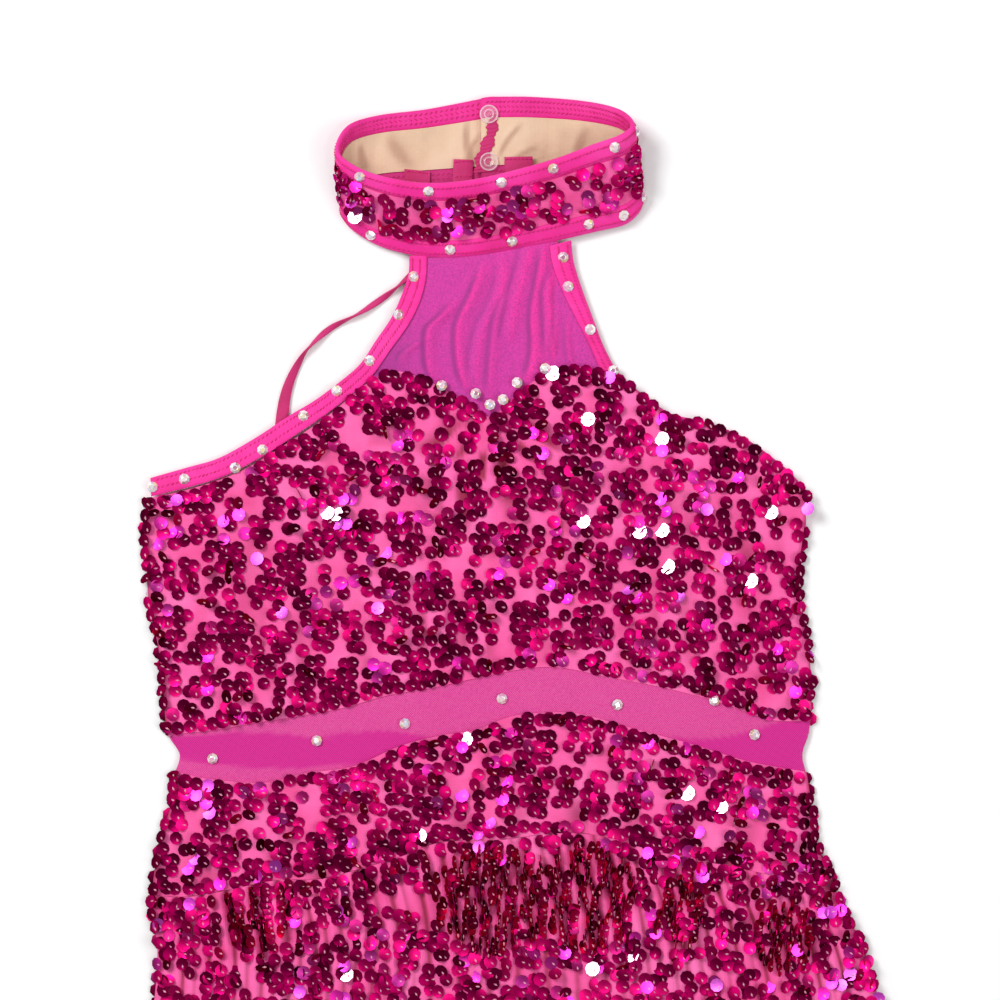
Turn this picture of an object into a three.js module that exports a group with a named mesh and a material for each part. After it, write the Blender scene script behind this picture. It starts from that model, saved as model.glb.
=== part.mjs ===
// A child's halter dance dress of sequin cloth and stretch net, laid flat on its back with the front up.
// Millimetres. +X is to the right and +Y towards the collar as seen from above, +Z is up from the surface.
// The origin is at the middle of the outline, on the surface. Left and right are as seen from above.
import * as THREE from "three";

// Cloth and how the layers lie
const CLOTH = 1.4; // sequin cloth with its sequins pressed flat
const NET = 1.1;
const BINDING = 1.3; // a folded strip of plain stretch cloth
const BINDING_WIDTH = 9;
const SEAM = 0.3; // left open between two pieces that are sewn together
const FRONT_BASE = CLOTH + SEAM; // the front lies on the back
const CROWN = 2.8; // how much higher the middle of the front lies than its sides
const CROWN_POWER = 2.6;

// Collar: a stiff band, lapped and snapped at the centre back
const BAND_CLOTH = 1.0;
const BAND_LINING = 0.9;
const BAND_WALL = 2.6; // at the bindings, which fold over both layers
const BINDING_SHARE = 0.24; // of the band's height, at each edge
const UNDER_LAP = 0.03; // how far the band's first end runs on below its last, as a share of a turn
const OVER_LAP = 0.009; // how far its last end runs past the centre back
const LAP_RISE = BAND_WALL + SEAM;
const BAND_STATIONS = 58;
const TURN_CROWDING = 0.5; // stations stand closer together where the band turns at its two sides

// Skirt: fine gathers at the seam that open into broad flutes at the hem
const GATHERS = 26;
const GATHER_RISE = 1.5;
const FLUTES = 8;
const FLUTE_RISE = 3.2;

// Snaps
const SNAP_RADIUS = 4.8;
const SNAP_HEIGHT = 1.6;

// Straps at the back, each a narrow tube of folded cloth
const STRAP = 1.2;

// The sides of the front, from the collar to the hem: the left side's x and the right side's x at each y
const SIDES = [
  { y: 190, left: -50.6, right: 22.4 },
  { y: 178, left: -50.7, right: 23.8 },
  { y: 166, left: -53.4, right: 27.9 },
  { y: 156, left: -57.8, right: 31.4 },
  { y: 143, left: -66.4, right: 36.4 },
  { y: 134, left: -72.2, right: 40.3 },
  { y: 127, left: -79.9, right: 46.0 },
  { y: 117, left: -93.4, right: 58.4 },
  { y: 111, left: -104.6, right: 66.8 },
  { y: 100, left: -119.9, right: 100.2 },
  { y: 93, left: -132.0, right: 110.5 },
  { y: 87, left: -150.0, right: 117.8 },
  { y: 80, left: -166.6, right: 125.4 },
  { y: 70, left: -168.2, right: 127.9 },
  { y: 55, left: -169.3, right: 126.4 },
  { y: 40, left: -168.6, right: 124.6 },
  { y: 22, left: -167.0, right: 125.6 },
  { y: 8, left: -163.6, right: 128.6 },
  { y: -14, left: -161.0, right: 130.2 },
  { y: -33, left: -158.8, right: 129.2 },
  { y: -42, left: -153.6, right: 126.2 },
  { y: -50, left: -155.8, right: 128.0 },
  { y: -64, left: -157.4, right: 130.2 },
  { y: -80, left: -162.0, right: 132.4 },
  { y: -95, left: -165.0, right: 138.6 },
  { y: -110, left: -166.2, right: 144.0 },
  { y: -130, left: -163.6, right: 153.6 },
  { y: -155, left: -164.8, right: 160.4 },
  { y: -185, left: -169.6, right: 168.0 },
  { y: -215, left: -176.4, right: 175.6 },
  { y: -254, left: -182.0, right: 182.0 },
];

// The front's seams across, each as y at x
const DIP_X = -13.7; // the lowest place of the sweetheart neckline
const SWEETHEART = [
  { x: -167.6, y: 73.2 },
  { x: -148.0, y: 77.6 },
  { x: -126.0, y: 85.4 },
  { x: -108.0, y: 96.2 },
  { x: -88.0, y: 109.4 },
  { x: -68.6, y: 125.4 },
  { x: -57.0, y: 130.2 },
  { x: -44.5, y: 127.0 },
  { x: -31.0, y: 120.0 },
  { x: -20.0, y: 113.6 },
  { x: DIP_X, y: 109.6 },
  { x: -7.5, y: 114.6 },
  { x: 1.0, y: 122.4 },
  { x: 12.0, y: 129.8 },
  { x: 24.0, y: 132.2 },
  { x: 36.0, y: 130.2 },
  { x: 45.8, y: 126.0 },
  { x: 58.3, y: 115.8 },
  { x: 67.0, y: 109.8 },
  { x: 82.0, y: 106.6 },
  { x: 99.6, y: 99.2 },
  { x: 117.0, y: 86.6 },
  { x: 127.4, y: 76.2 },
];
const BODICE_FOOT = [
  { x: -160.5, y: -33.3 },
  { x: -141.0, y: -31.4 },
  { x: -117.0, y: -27.4 },
  { x: -97.0, y: -24.2 },
  { x: -80.0, y: -21.0 },
  { x: -60.0, y: -15.4 },
  { x: -40.0, y: -12.0 },
  { x: -20.0, y: -7.6 },
  { x: 3.0, y: -3.2 },
  { x: 18.0, y: -3.0 },
  { x: 40.0, y: -7.4 },
  { x: 66.0, y: -12.4 },
  { x: 90.0, y: -19.0 },
  { x: 112.0, y: -26.4 },
  { x: 130.0, y: -27.0 },
];
const MIDRIFF_FOOT = [
  { x: -156.0, y: -49.4 },
  { x: -140.0, y: -52.8 },
  { x: -115.0, y: -54.2 },
  { x: -97.0, y: -50.0 },
  { x: -76.0, y: -47.0 },
  { x: -55.0, y: -38.0 },
  { x: -38.0, y: -33.4 },
  { x: -20.0, y: -30.4 },
  { x: -5.0, y: -24.6 },
  { x: 12.0, y: -22.8 },
  { x: 26.0, y: -23.4 },
  { x: 48.0, y: -29.4 },
  { x: 75.0, y: -36.6 },
  { x: 102.0, y: -44.8 },
  { x: 128.0, y: -49.6 },
];
const GATHER_SEAM = [
  { x: -165.6, y: -105.2 },
  { x: -150.0, y: -105.6 },
  { x: -132.0, y: -102.6 },
  { x: -112.0, y: -98.4 },
  { x: -90.0, y: -97.4 },
  { x: -72.0, y: -92.8 },
  { x: -54.0, y: -87.4 },
  { x: -37.0, y: -81.2 },
  { x: -8.0, y: -79.8 },
  { x: 16.0, y: -77.0 },
  { x: 34.0, y: -78.0 },
  { x: 60.0, y: -85.0 },
  { x: 88.0, y: -90.8 },
  { x: 112.0, y: -96.0 },
  { x: 142.0, y: -104.0 },
];
const HEM = [
  { x: -182.0, y: -238.0 },
  { x: -130.0, y: -246.4 },
  { x: -60.0, y: -252.4 },
  { x: 0.0, y: -253.8 },
  { x: 60.0, y: -252.6 },
  { x: 130.0, y: -247.0 },
  { x: 182.0, y: -240.0 },
];

// The back's seams across, which the front hides but for the window of net
const BACK_TOP = [
  { x: -168.0, y: 71.0 },
  { x: -120.0, y: 75.4 },
  { x: -60.0, y: 79.0 },
  { x: -18.0, y: 80.0 },
  { x: 40.0, y: 78.6 },
  { x: 90.0, y: 74.6 },
  { x: 127.8, y: 69.0 },
];
const BACK_BODICE_FOOT = [
  { x: -159.0, y: -34.0 },
  { x: -100.0, y: -30.6 },
  { x: -18.0, y: -30.0 },
  { x: 70.0, y: -31.6 },
  { x: 129.0, y: -33.0 },
];
const BACK_MIDRIFF_FOOT = [
  { x: -156.0, y: -51.0 },
  { x: -18.0, y: -49.4 },
  { x: 128.4, y: -51.4 },
];
const BACK_GATHER_SEAM = [
  { x: -165.8, y: -106.0 },
  { x: -18.0, y: -102.0 },
  { x: 142.6, y: -105.0 },
];

// The net yoke's two side edges, and the height of its soft folds
const YOKE_SIDES = [
  { share: 0.0, left: -42.1, right: 12.0 },
  { share: 0.22, left: -42.6, right: 14.0 },
  { share: 0.45, left: -47.2, right: 19.0 },
  { share: 0.68, left: -54.8, right: 25.6 },
  { share: 0.87, left: -62.0, right: 31.6 },
  { share: 1.0, left: -66.6, right: 35.6 },
];
const YOKE_FOLDS = [
  { share: 0.17, rise: 1.0, width: 0.05 },
  { share: 0.33, rise: 1.5, width: 0.045 },
  { share: 0.47, rise: 1.7, width: 0.04 },
  { share: 0.6, rise: 1.4, width: 0.045 },
  { share: 0.74, rise: 1.6, width: 0.05 },
  { share: 0.87, rise: 0.9, width: 0.04 },
];

// The bodice's folds, each a straight ridge that fades out at both ends: the gathers of the
// centre front run out from the dip of the neckline, and the rest lie down the cups and sides
const BODICE_FOLDS = [
  { x1: -14, y1: 108, x2: -40, y2: 66, rise: 1.8, width: 8 },
  { x1: -12, y1: 106, x2: -16, y2: 48, rise: 1.4, width: 7 },
  { x1: -11, y1: 107, x2: 16, y2: 60, rise: 1.8, width: 8 },
  { x1: -18, y1: 84, x2: -74, y2: 92, rise: 1.3, width: 7 },
  { x1: -4, y1: 86, x2: 52, y2: 96, rise: 1.4, width: 8 },
  { x1: -96, y1: 96, x2: -112, y2: -8, rise: 1.2, width: 9 },
  { x1: -64, y1: 40, x2: -58, y2: -12, rise: 1.2, width: 8 },
  { x1: 30, y1: 52, x2: 38, y2: -4, rise: 1.3, width: 8 },
  { x1: 84, y1: 96, x2: 92, y2: -6, rise: 1.4, width: 10 },
];

// The left binding, from the collar along the halter edge and the armhole to the side seam
const LEFT_BINDING = [
  { outerX: -50.6, outerY: 180.6, innerX: -42.6, innerY: 180.2 },
  { outerX: -50.9, outerY: 174.0, innerX: -43.0, innerY: 172.0 },
  { outerX: -53.8, outerY: 165.0, innerX: -45.6, innerY: 161.8 },
  { outerX: -58.6, outerY: 154.4, innerX: -50.8, innerY: 151.2 },
  { outerX: -66.0, outerY: 143.4, innerX: -58.8, innerY: 140.0 },
  { outerX: -72.6, outerY: 133.6, innerX: -67.0, innerY: 128.4 },
  { outerX: -82.0, outerY: 125.4, innerX: -76.6, innerY: 119.6 },
  { outerX: -93.4, outerY: 117.0, innerX: -88.0, innerY: 110.8 },
  { outerX: -105.0, outerY: 110.0, innerX: -100.0, innerY: 102.6 },
  { outerX: -120.0, outerY: 100.2, innerX: -115.0, innerY: 92.8 },
  { outerX: -136.0, outerY: 91.4, innerX: -132.4, innerY: 83.6 },
  { outerX: -150.0, outerY: 87.2, innerX: -148.0, innerY: 78.6 },
  { outerX: -166.8, outerY: 82.4, innerX: -166.4, innerY: 74.0 },
];

// The right binding: along the yoke it shows, and then the bodice rolls over it
const RIGHT_BINDING = [
  { outerX: 22.4, outerY: 189.2, innerX: 12.6, innerY: 186.4 },
  { outerX: 23.4, outerY: 180.0, innerX: 14.0, innerY: 178.2 },
  { outerX: 27.2, outerY: 167.4, innerX: 18.8, innerY: 165.4 },
  { outerX: 32.0, outerY: 154.6, innerX: 24.6, innerY: 153.8 },
  { outerX: 37.0, outerY: 141.6, innerX: 30.6, innerY: 142.0 },
  { outerX: 44.0, outerY: 129.2, innerX: 36.8, innerY: 129.0 },
  { outerX: 54.4, outerY: 120.2, innerX: 48.4, innerY: 114.4 },
  { outerX: 67.2, outerY: 111.4, innerX: 63.4, innerY: 104.0 },
  { outerX: 82.4, outerY: 107.8, innerX: 79.8, innerY: 99.4 },
  { outerX: 100.2, outerY: 100.4, innerX: 95.8, innerY: 92.8 },
  { outerX: 117.8, outerY: 87.6, innerX: 112.0, innerY: 81.0 },
  { outerX: 128.0, outerY: 77.0, innerX: 121.4, innerY: 71.4 },
];
const ROLL_RISE = 2.1; // how far the rolled edge of the bodice lies above the right binding

// The straps' middle lines, the heights of their lower faces and their widths: each starts as a tab
// on the inside of the collar's back, comes down to the surface and ends at the top of the back
const ON_BAND = BAND_WALL + SEAM;
const ON_LAP = ON_BAND + LAP_RISE;
const LEFT_STRAP = [
  { x: -26.2, y: 225.4, z: ON_BAND, width: 9 },
  { x: -26.4, y: 219.0, z: ON_BAND, width: 9 },
  { x: -26.8, y: 212.4, z: ON_BAND, width: 8.4 },
  { x: -28.4, y: 205.0, z: 1.0, width: 6.4 },
  { x: -32.0, y: 197.0, z: 0, width: 5 },
  { x: -40.0, y: 184.0, z: 0, width: 4 },
  { x: -52.4, y: 171.5, z: 0, width: 3 },
  { x: -60.2, y: 164.8, z: 0, width: 3 },
  { x: -72.6, y: 156.6, z: 0, width: 2.8 },
  { x: -86.0, y: 149.6, z: 0, width: 2.8 },
  { x: -95.4, y: 141.2, z: 0, width: 3 },
  { x: -101.0, y: 132.8, z: 0, width: 3.4 },
  { x: -105.2, y: 123.0, z: 0, width: 4.6 },
  { x: -107.4, y: 112.0, z: 0, width: 5.6 },
  { x: -108.8, y: 95.0, z: 0, width: 6 },
  { x: -109.4, y: 77.0, z: 0, width: 6 },
];
const RIGHT_STRAP = [
  { x: -1.4, y: 226.4, z: ON_LAP, width: 13 },
  { x: -1.2, y: 220.0, z: ON_LAP, width: 13 },
  { x: -0.4, y: 212.0, z: ON_LAP, width: 12 },
  { x: 2.0, y: 203.0, z: 1.6, width: 7 },
  { x: 6.0, y: 196.0, z: 0, width: 5 },
  { x: 13.0, y: 186.0, z: 0, width: 4 },
  { x: 19.6, y: 173.0, z: 0, width: 3.4 },
  { x: 26.0, y: 158.0, z: 0, width: 3 },
  { x: 33.0, y: 142.0, z: 0, width: 3 },
  { x: 41.0, y: 126.0, z: 0, width: 3.4 },
  { x: 52.0, y: 106.0, z: 0, width: 4.6 },
  { x: 59.0, y: 94.0, z: 0, width: 6 },
  { x: 62.6, y: 86.0, z: 0, width: 6 },
  { x: 64.0, y: 78.0, z: 0, width: 6 },
];

// The collar's upper edge (head) and lower edge (foot), once round from the centre back over the left
const COLLAR = [
  { turn: 0.0, headX: -14.6, headY: 253.6, headZ: 1.35, footX: -14.6, footY: 213.3, footZ: 1.34 },
  { turn: 0.07, headX: -42.5, headY: 248.2, headZ: 1.6, footX: -41.2, footY: 212.4, footZ: 1.34 },
  { turn: 0.13, headX: -65.0, headY: 245.0, headZ: 5.0, footX: -63.0, footY: 211.2, footZ: 1.34 },
  { turn: 0.18, headX: -78.0, headY: 239.6, headZ: 12.0, footX: -75.6, footY: 208.2, footZ: 1.5 },
  { turn: 0.23, headX: -82.2, headY: 228.6, headZ: 18.0, footX: -80.2, footY: 201.2, footZ: 1.9 },
  { turn: 0.28, headX: -74.6, headY: 221.4, headZ: 20.0, footX: -75.4, footY: 193.4, footZ: 2.6 },
  { turn: 0.33, headX: -61.9, headY: 216.6, headZ: 20.0, footX: -61.9, footY: 185.8, footZ: 3.2 },
  { turn: 0.38, headX: -44.8, headY: 213.8, headZ: 19.5, footX: -44.8, footY: 181.9, footZ: 3.6 },
  { turn: 0.44, headX: -26.3, headY: 214.6, headZ: 19.0, footX: -26.3, footY: 181.6, footZ: 3.8 },
  { turn: 0.5, headX: -7.9, headY: 218.2, headZ: 19.0, footX: -7.9, footY: 184.2, footZ: 3.8 },
  { turn: 0.57, headX: 15.1, headY: 224.6, headZ: 19.4, footX: 15.1, footY: 188.8, footZ: 3.5 },
  { turn: 0.63, headX: 32.2, headY: 231.0, headZ: 20.0, footX: 34.4, footY: 193.2, footZ: 2.9 },
  { turn: 0.68, headX: 43.9, headY: 235.2, headZ: 20.0, footX: 47.2, footY: 196.6, footZ: 2.3 },
  { turn: 0.73, headX: 49.4, headY: 240.4, headZ: 17.0, footX: 53.6, footY: 203.6, footZ: 1.9 },
  { turn: 0.79, headX: 44.6, headY: 246.8, headZ: 11.0, footX: 48.8, footY: 210.2, footZ: 1.4 },
  { turn: 0.85, headX: 32.0, headY: 251.0, headZ: 4.6, footX: 33.0, footY: 212.8, footZ: 1.34 },
  { turn: 0.92, headX: 10.6, headY: 253.4, headZ: 1.6, footX: 10.6, footY: 213.6, footZ: 1.34 },
  { turn: 1.0, headX: -14.6, headY: 253.6, headZ: 1.35, footX: -14.6, footY: 213.3, footZ: 1.34 },
];
const COLLAR_FRONT_TURNS = { from: 0.31, to: 0.66 }; // where the yoke hangs below the collar

// How finely each piece is divided
const FRONT_COLUMNS = 40;
const BODICE_ROWS = 12;
const SKIRT_ROWS = 10;
const SKIRT_COLUMNS_PER_GATHER = 4;

const MATERIALS = {
  sequinCloth: { color: 0x8e1450, roughness: 0.35, metalness: 0.2 },
  binding: { color: 0xf02891, roughness: 0.6, metalness: 0 },
  net: { color: 0xc83ca0, roughness: 0.7, metalness: 0 },
  lining: { color: 0xebcdb4, roughness: 0.85, metalness: 0 },
  clearPlastic: { color: 0xf4eef2, roughness: 0.15, metalness: 0 },
};

const mix = (from, to, share) => from + (to - from) * share;

function smooth(value, from, to) {
  const share = THREE.MathUtils.clamp((value - from) / (to - from), 0, 1);
  return share * share * (3 - 2 * share);
}

// A smooth curve through the rows: the value of one column at any place along another
function curveOf(rows, placeColumn, valueColumn) {
  const ordered = [...rows].sort((a, b) => a[placeColumn] - b[placeColumn]);
  const place = ordered.map((row) => row[placeColumn]);
  const value = ordered.map((row) => row[valueColumn]);
  const last = ordered.length - 1;
  const slope = value.map((_, i) => {
    const before = Math.max(i - 1, 0);
    const after = Math.min(i + 1, last);
    return (value[after] - value[before]) / (place[after] - place[before]);
  });
  return (at) => {
    let i = 0;
    while (i < last - 1 && at > place[i + 1]) i += 1;
    const span = place[i + 1] - place[i];
    const t = THREE.MathUtils.clamp((at - place[i]) / span, 0, 1);
    const t2 = t * t;
    const t3 = t2 * t;
    return (
      (2 * t3 - 3 * t2 + 1) * value[i] +
      (t3 - 2 * t2 + t) * span * slope[i] +
      (3 * t2 - 2 * t3) * value[i + 1] +
      (t3 - t2) * span * slope[i + 1]
    );
  };
}

const leftSide = curveOf(SIDES, "y", "left");
const rightSide = curveOf(SIDES, "y", "right");

// How high the front's lower face lies over the surface at a place: lowest along its sides
function frontBase(x, y) {
  const left = leftSide(y);
  const right = rightSide(y);
  const across = Math.abs((2 * x - left - right) / (right - left));
  const round = Math.max(1 - Math.min(across, 1) ** CROWN_POWER, 0);
  return FRONT_BASE + CROWN * Math.sqrt(round);
}

// A closed wall between two faces, each a function of the shares across and along
function wall(columns, rows, lowerFace, upperFace) {
  const points = [];
  const corners = [];
  for (const face of [lowerFace, upperFace])
    for (let row = 0; row <= rows; row += 1)
      for (let column = 0; column <= columns; column += 1)
        points.push(...face(column / columns, row / rows).toArray());
  const upperStart = (columns + 1) * (rows + 1);
  const at = (column, row) => row * (columns + 1) + column;
  const quad = (a, b, c, d) => corners.push(a, b, c, a, c, d);
  for (let row = 0; row < rows; row += 1)
    for (let column = 0; column < columns; column += 1) {
      const ring = [
        at(column, row),
        at(column, row + 1),
        at(column + 1, row + 1),
        at(column + 1, row),
      ];
      quad(...ring.map((corner) => corner + upperStart));
      quad(...ring.reverse());
    }
  const rim = [];
  for (let column = 0; column < columns; column += 1) rim.push(at(column, 0));
  for (let row = 0; row < rows; row += 1) rim.push(at(columns, row));
  for (let column = columns; column > 0; column -= 1) rim.push(at(column, rows));
  for (let row = rows; row > 0; row -= 1) rim.push(at(0, row));
  rim.forEach((corner, i) => {
    const next = rim[(i + 1) % rim.length];
    quad(corner, corner + upperStart, next + upperStart, next);
  });
  return new THREE.BufferGeometry()
    .setAttribute("position", new THREE.Float32BufferAttribute(points, 3))
    .setIndex(corners);
}

// A panel between an upper and a lower seam and two sides, with the height of its lower face.
// Its columns are even, unless spread gives each one's own share of the way across.
function panel({ columns, rows, top, foot, left, right, base, thickness, spread }) {
  const face = (extra) => (column, along) => {
    const across = spread ? spread(column) : column;
    const x = mix(left(along), right(along), across);
    const y = mix(
      top(mix(left(0), right(0), across)),
      foot(mix(left(1), right(1), across)),
      along,
    );
    return new THREE.Vector3(x, y, base(x, y, across, along) + extra);
  };
  return wall(columns, rows, face(0), face(thickness));
}

// A side of the front or back between two heights, as x at a share of the way down
function sideBetween(side, from, to) {
  return (along) => side(mix(from, to, along));
}

// The height of a straight fold at a place
function foldRise(fold, x, y) {
  const dx = fold.x2 - fold.x1;
  const dy = fold.y2 - fold.y1;
  const length = Math.hypot(dx, dy);
  const along = ((x - fold.x1) * dx + (y - fold.y1) * dy) / length ** 2;
  const off = ((x - fold.x1) * dy - (y - fold.y1) * dx) / length / fold.width;
  const fade = Math.max(1 - (2 * along - 1) ** 2, 0);
  return fold.rise * fade * Math.exp(-off * off);
}

const garment = new THREE.Group();

function add(name, geometry, material) {
  geometry.computeVertexNormals();
  const mesh = new THREE.Mesh(geometry, new THREE.MeshStandardMaterial(material));
  mesh.name = name;
  garment.add(mesh);
}

// Collar

const collarColumns = Object.fromEntries(
  ["headX", "headY", "headZ", "footX", "footY", "footZ"].map((column) => [
    column,
    curveOf(COLLAR, "turn", column),
  ]),
);

// A place on the band's middle: past one turn the last end lies over the first
function bandPlace(turn, height) {
  const at = (turn + 1) % 1;
  const rise = LAP_RISE * smooth(turn, 1 - 3 * UNDER_LAP, 1 - 1.3 * UNDER_LAP);
  const edge = (name) =>
    new THREE.Vector3(...["X", "Y", "Z"].map((axis) => collarColumns[name + axis](at)));
  return edge("foot").lerp(edge("head"), height).add(new THREE.Vector3(0, 0, rise));
}

// A face of the band, moved out by a distance from its middle
function bandFace(fromHeight, toHeight, out) {
  const step = 0.004;
  return (across, along) => {
    const crowded = across + (TURN_CROWDING * Math.sin(4 * Math.PI * across)) / (4 * Math.PI);
    const turn = mix(-UNDER_LAP, 1 + OVER_LAP, crowded);
    const height = mix(fromHeight, toHeight, along);
    const round = bandPlace(turn + step, height).sub(bandPlace(turn - step, height));
    const up = bandPlace(turn, 1).sub(bandPlace(turn, 0));
    const outward = round.cross(up).normalize();
    return bandPlace(turn, height).addScaledVector(outward, out);
  };
}

function bandStrip(fromHeight, toHeight, inner, outer) {
  return wall(
    BAND_STATIONS,
    1,
    bandFace(toHeight, fromHeight, inner),
    bandFace(toHeight, fromHeight, outer),
  );
}

const bandGap = SEAM / 20; // the seam as a share of the band, where it is lowest
const clothFoot = BINDING_SHARE + bandGap;
const clothHead = 1 - clothFoot;
add(
  "collar_band",
  bandStrip(clothFoot, clothHead, BAND_WALL / 2 - BAND_CLOTH, BAND_WALL / 2),
  MATERIALS.sequinCloth,
);
add(
  "collar_lining",
  bandStrip(clothFoot, clothHead, -BAND_WALL / 2, BAND_LINING - BAND_WALL / 2),
  MATERIALS.lining,
);
add("collar_binding_bottom", bandStrip(0, BINDING_SHARE, -BAND_WALL / 2, BAND_WALL / 2), MATERIALS.binding);
add("collar_binding_top", bandStrip(1 - BINDING_SHARE, 1, -BAND_WALL / 2, BAND_WALL / 2), MATERIALS.binding);

function snap(name, height) {
  const profile = [
    new THREE.Vector2(0, 0),
    new THREE.Vector2(SNAP_RADIUS, 0),
    new THREE.Vector2(SNAP_RADIUS, SNAP_HEIGHT * 0.5),
    new THREE.Vector2(SNAP_RADIUS * 0.6, SNAP_HEIGHT * 0.6),
    new THREE.Vector2(SNAP_RADIUS * 0.45, SNAP_HEIGHT),
    new THREE.Vector2(0, SNAP_HEIGHT),
  ];
  const geometry = new THREE.LatheGeometry(profile, 18).rotateX(Math.PI / 2);
  const seat = bandPlace(1, height);
  geometry.translate(seat.x, seat.y, seat.z + BAND_WALL / 2 + SEAM);
  add(name, geometry, MATERIALS.clearPlastic);
}
snap("snap_upper", 0.8);
snap("snap_lower", 0.27);

// Yoke of net, below the collar's front

const collarFoot = [];
for (let turn = COLLAR_FRONT_TURNS.from; turn < COLLAR_FRONT_TURNS.to; turn += 0.02) {
  const place = bandPlace(turn, 0);
  collarFoot.push({ x: place.x, y: place.y });
}
const collarFootY = curveOf(collarFoot, "x", "y");
const sweetheartY = curveOf(SWEETHEART, "x", "y");
const bodiceLeft = sideBetween(leftSide, 70, -33);
const bodiceRight = sideBetween(rightSide, 74, -27);
const dipShare = (DIP_X - bodiceLeft(0)) / (bodiceRight(0) - bodiceLeft(0));

// The share across the bodice of each of its columns: one runs down from the dip of the neckline
function bodiceSpread(column) {
  return column < 0.5 ? 2 * column * dipShare : mix(dipShare, 1, 2 * column - 1);
}

// The bodice's upper edge as it is built, straight from column to column
const bodiceEdge = [];
for (let column = 0; column <= FRONT_COLUMNS; column += 1) {
  const x = mix(bodiceLeft(0), bodiceRight(0), bodiceSpread(column / FRONT_COLUMNS));
  bodiceEdge.push({ x, y: sweetheartY(x) });
}
function bodiceEdgeY(x) {
  const after = bodiceEdge.findIndex((corner) => corner.x > x);
  const from = bodiceEdge[after - 1];
  const to = bodiceEdge[after];
  return mix(from.y, to.y, (x - from.x) / (to.x - from.x));
}

function yokeBase(x, y, across) {
  const folds = YOKE_FOLDS.map(
    (fold) => fold.rise * Math.exp(-(((across - fold.share) / fold.width) ** 2)),
  );
  return frontBase(x, y) + folds.reduce((sum, rise) => sum + rise, 0) * smooth(across, 0, 0.1);
}
add(
  "yoke_net",
  panel({
    columns: 30,
    rows: 7,
    top: (x) => collarFootY(x) - SEAM - 0.4,
    foot: (x) => bodiceEdgeY(x) + 1.4 * SEAM, // the neckline slopes, so the seam is opened along y
    left: curveOf(YOKE_SIDES, "share", "left"),
    right: curveOf(YOKE_SIDES, "share", "right"),
    base: yokeBase,
    thickness: NET,
  }),
  MATERIALS.net,
);

// Bindings of the halter edges and armholes

function bindingStrip(rows) {
  const stations = 34;
  const columns = rows.map((row, i) => ({ ...row, share: i / (rows.length - 1) }));
  const edge = Object.fromEntries(
    ["outerX", "outerY", "innerX", "innerY"].map((name) => [name, curveOf(columns, "share", name)]),
  );
  const face = (extra) => (across, along) => {
    const x = mix(edge.outerX(across), edge.innerX(across), along);
    const y = mix(edge.outerY(across), edge.innerY(across), along);
    return new THREE.Vector3(x, y, frontBase(x, y) + extra);
  };
  return { stations, face };
}
const leftBinding = bindingStrip(LEFT_BINDING);
const rightBinding = bindingStrip(RIGHT_BINDING);
// The left one runs from right to left, so its faces are taken the other way round
add(
  "binding_left",
  wall(
    leftBinding.stations,
    2,
    (across, along) => leftBinding.face(0)(1 - across, along),
    (across, along) => leftBinding.face(BINDING)(1 - across, along),
  ),
  MATERIALS.binding,
);
add(
  "binding_right",
  wall(rightBinding.stations, 2, rightBinding.face(0), rightBinding.face(BINDING)),
  MATERIALS.binding,
);

// Front panels

const bodiceFootY = curveOf(BODICE_FOOT, "x", "y");
const midriffFootY = curveOf(MIDRIFF_FOOT, "x", "y");
const gatherSeamY = curveOf(GATHER_SEAM, "x", "y");
const hemY = curveOf(HEM, "x", "y");

function bodiceBase(x, y, across, along) {
  const folds = BODICE_FOLDS.reduce((sum, fold) => sum + foldRise(fold, x, y), 0);
  const roll = ROLL_RISE * smooth(across, 0.56, 0.66) * (1 - smooth(along, 0.16, 0.42));
  return frontBase(x, y) + folds + roll;
}
add(
  "bodice_front",
  panel({
    columns: FRONT_COLUMNS,
    rows: BODICE_ROWS,
    top: (x) => sweetheartY(x),
    foot: (x) => bodiceFootY(x) + SEAM / 2,
    left: bodiceLeft,
    right: bodiceRight,
    base: bodiceBase,
    thickness: CLOTH,
    spread: bodiceSpread,
  }),
  MATERIALS.sequinCloth,
);
add(
  "midriff_front",
  panel({
    columns: FRONT_COLUMNS,
    rows: 2,
    top: (x) => bodiceFootY(x) - SEAM / 2,
    foot: (x) => midriffFootY(x) + SEAM / 2,
    left: sideBetween(leftSide, -34, -50),
    right: sideBetween(rightSide, -28, -50),
    base: frontBase,
    thickness: NET,
  }),
  MATERIALS.net,
);
add(
  "hip_yoke_front",
  panel({
    columns: FRONT_COLUMNS,
    rows: 4,
    top: (x) => midriffFootY(x) - SEAM / 2,
    foot: (x) => gatherSeamY(x) + SEAM / 2,
    left: sideBetween(leftSide, -50, -105),
    right: sideBetween(rightSide, -50, -103),
    base: frontBase,
    thickness: CLOTH,
  }),
  MATERIALS.sequinCloth,
);

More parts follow.
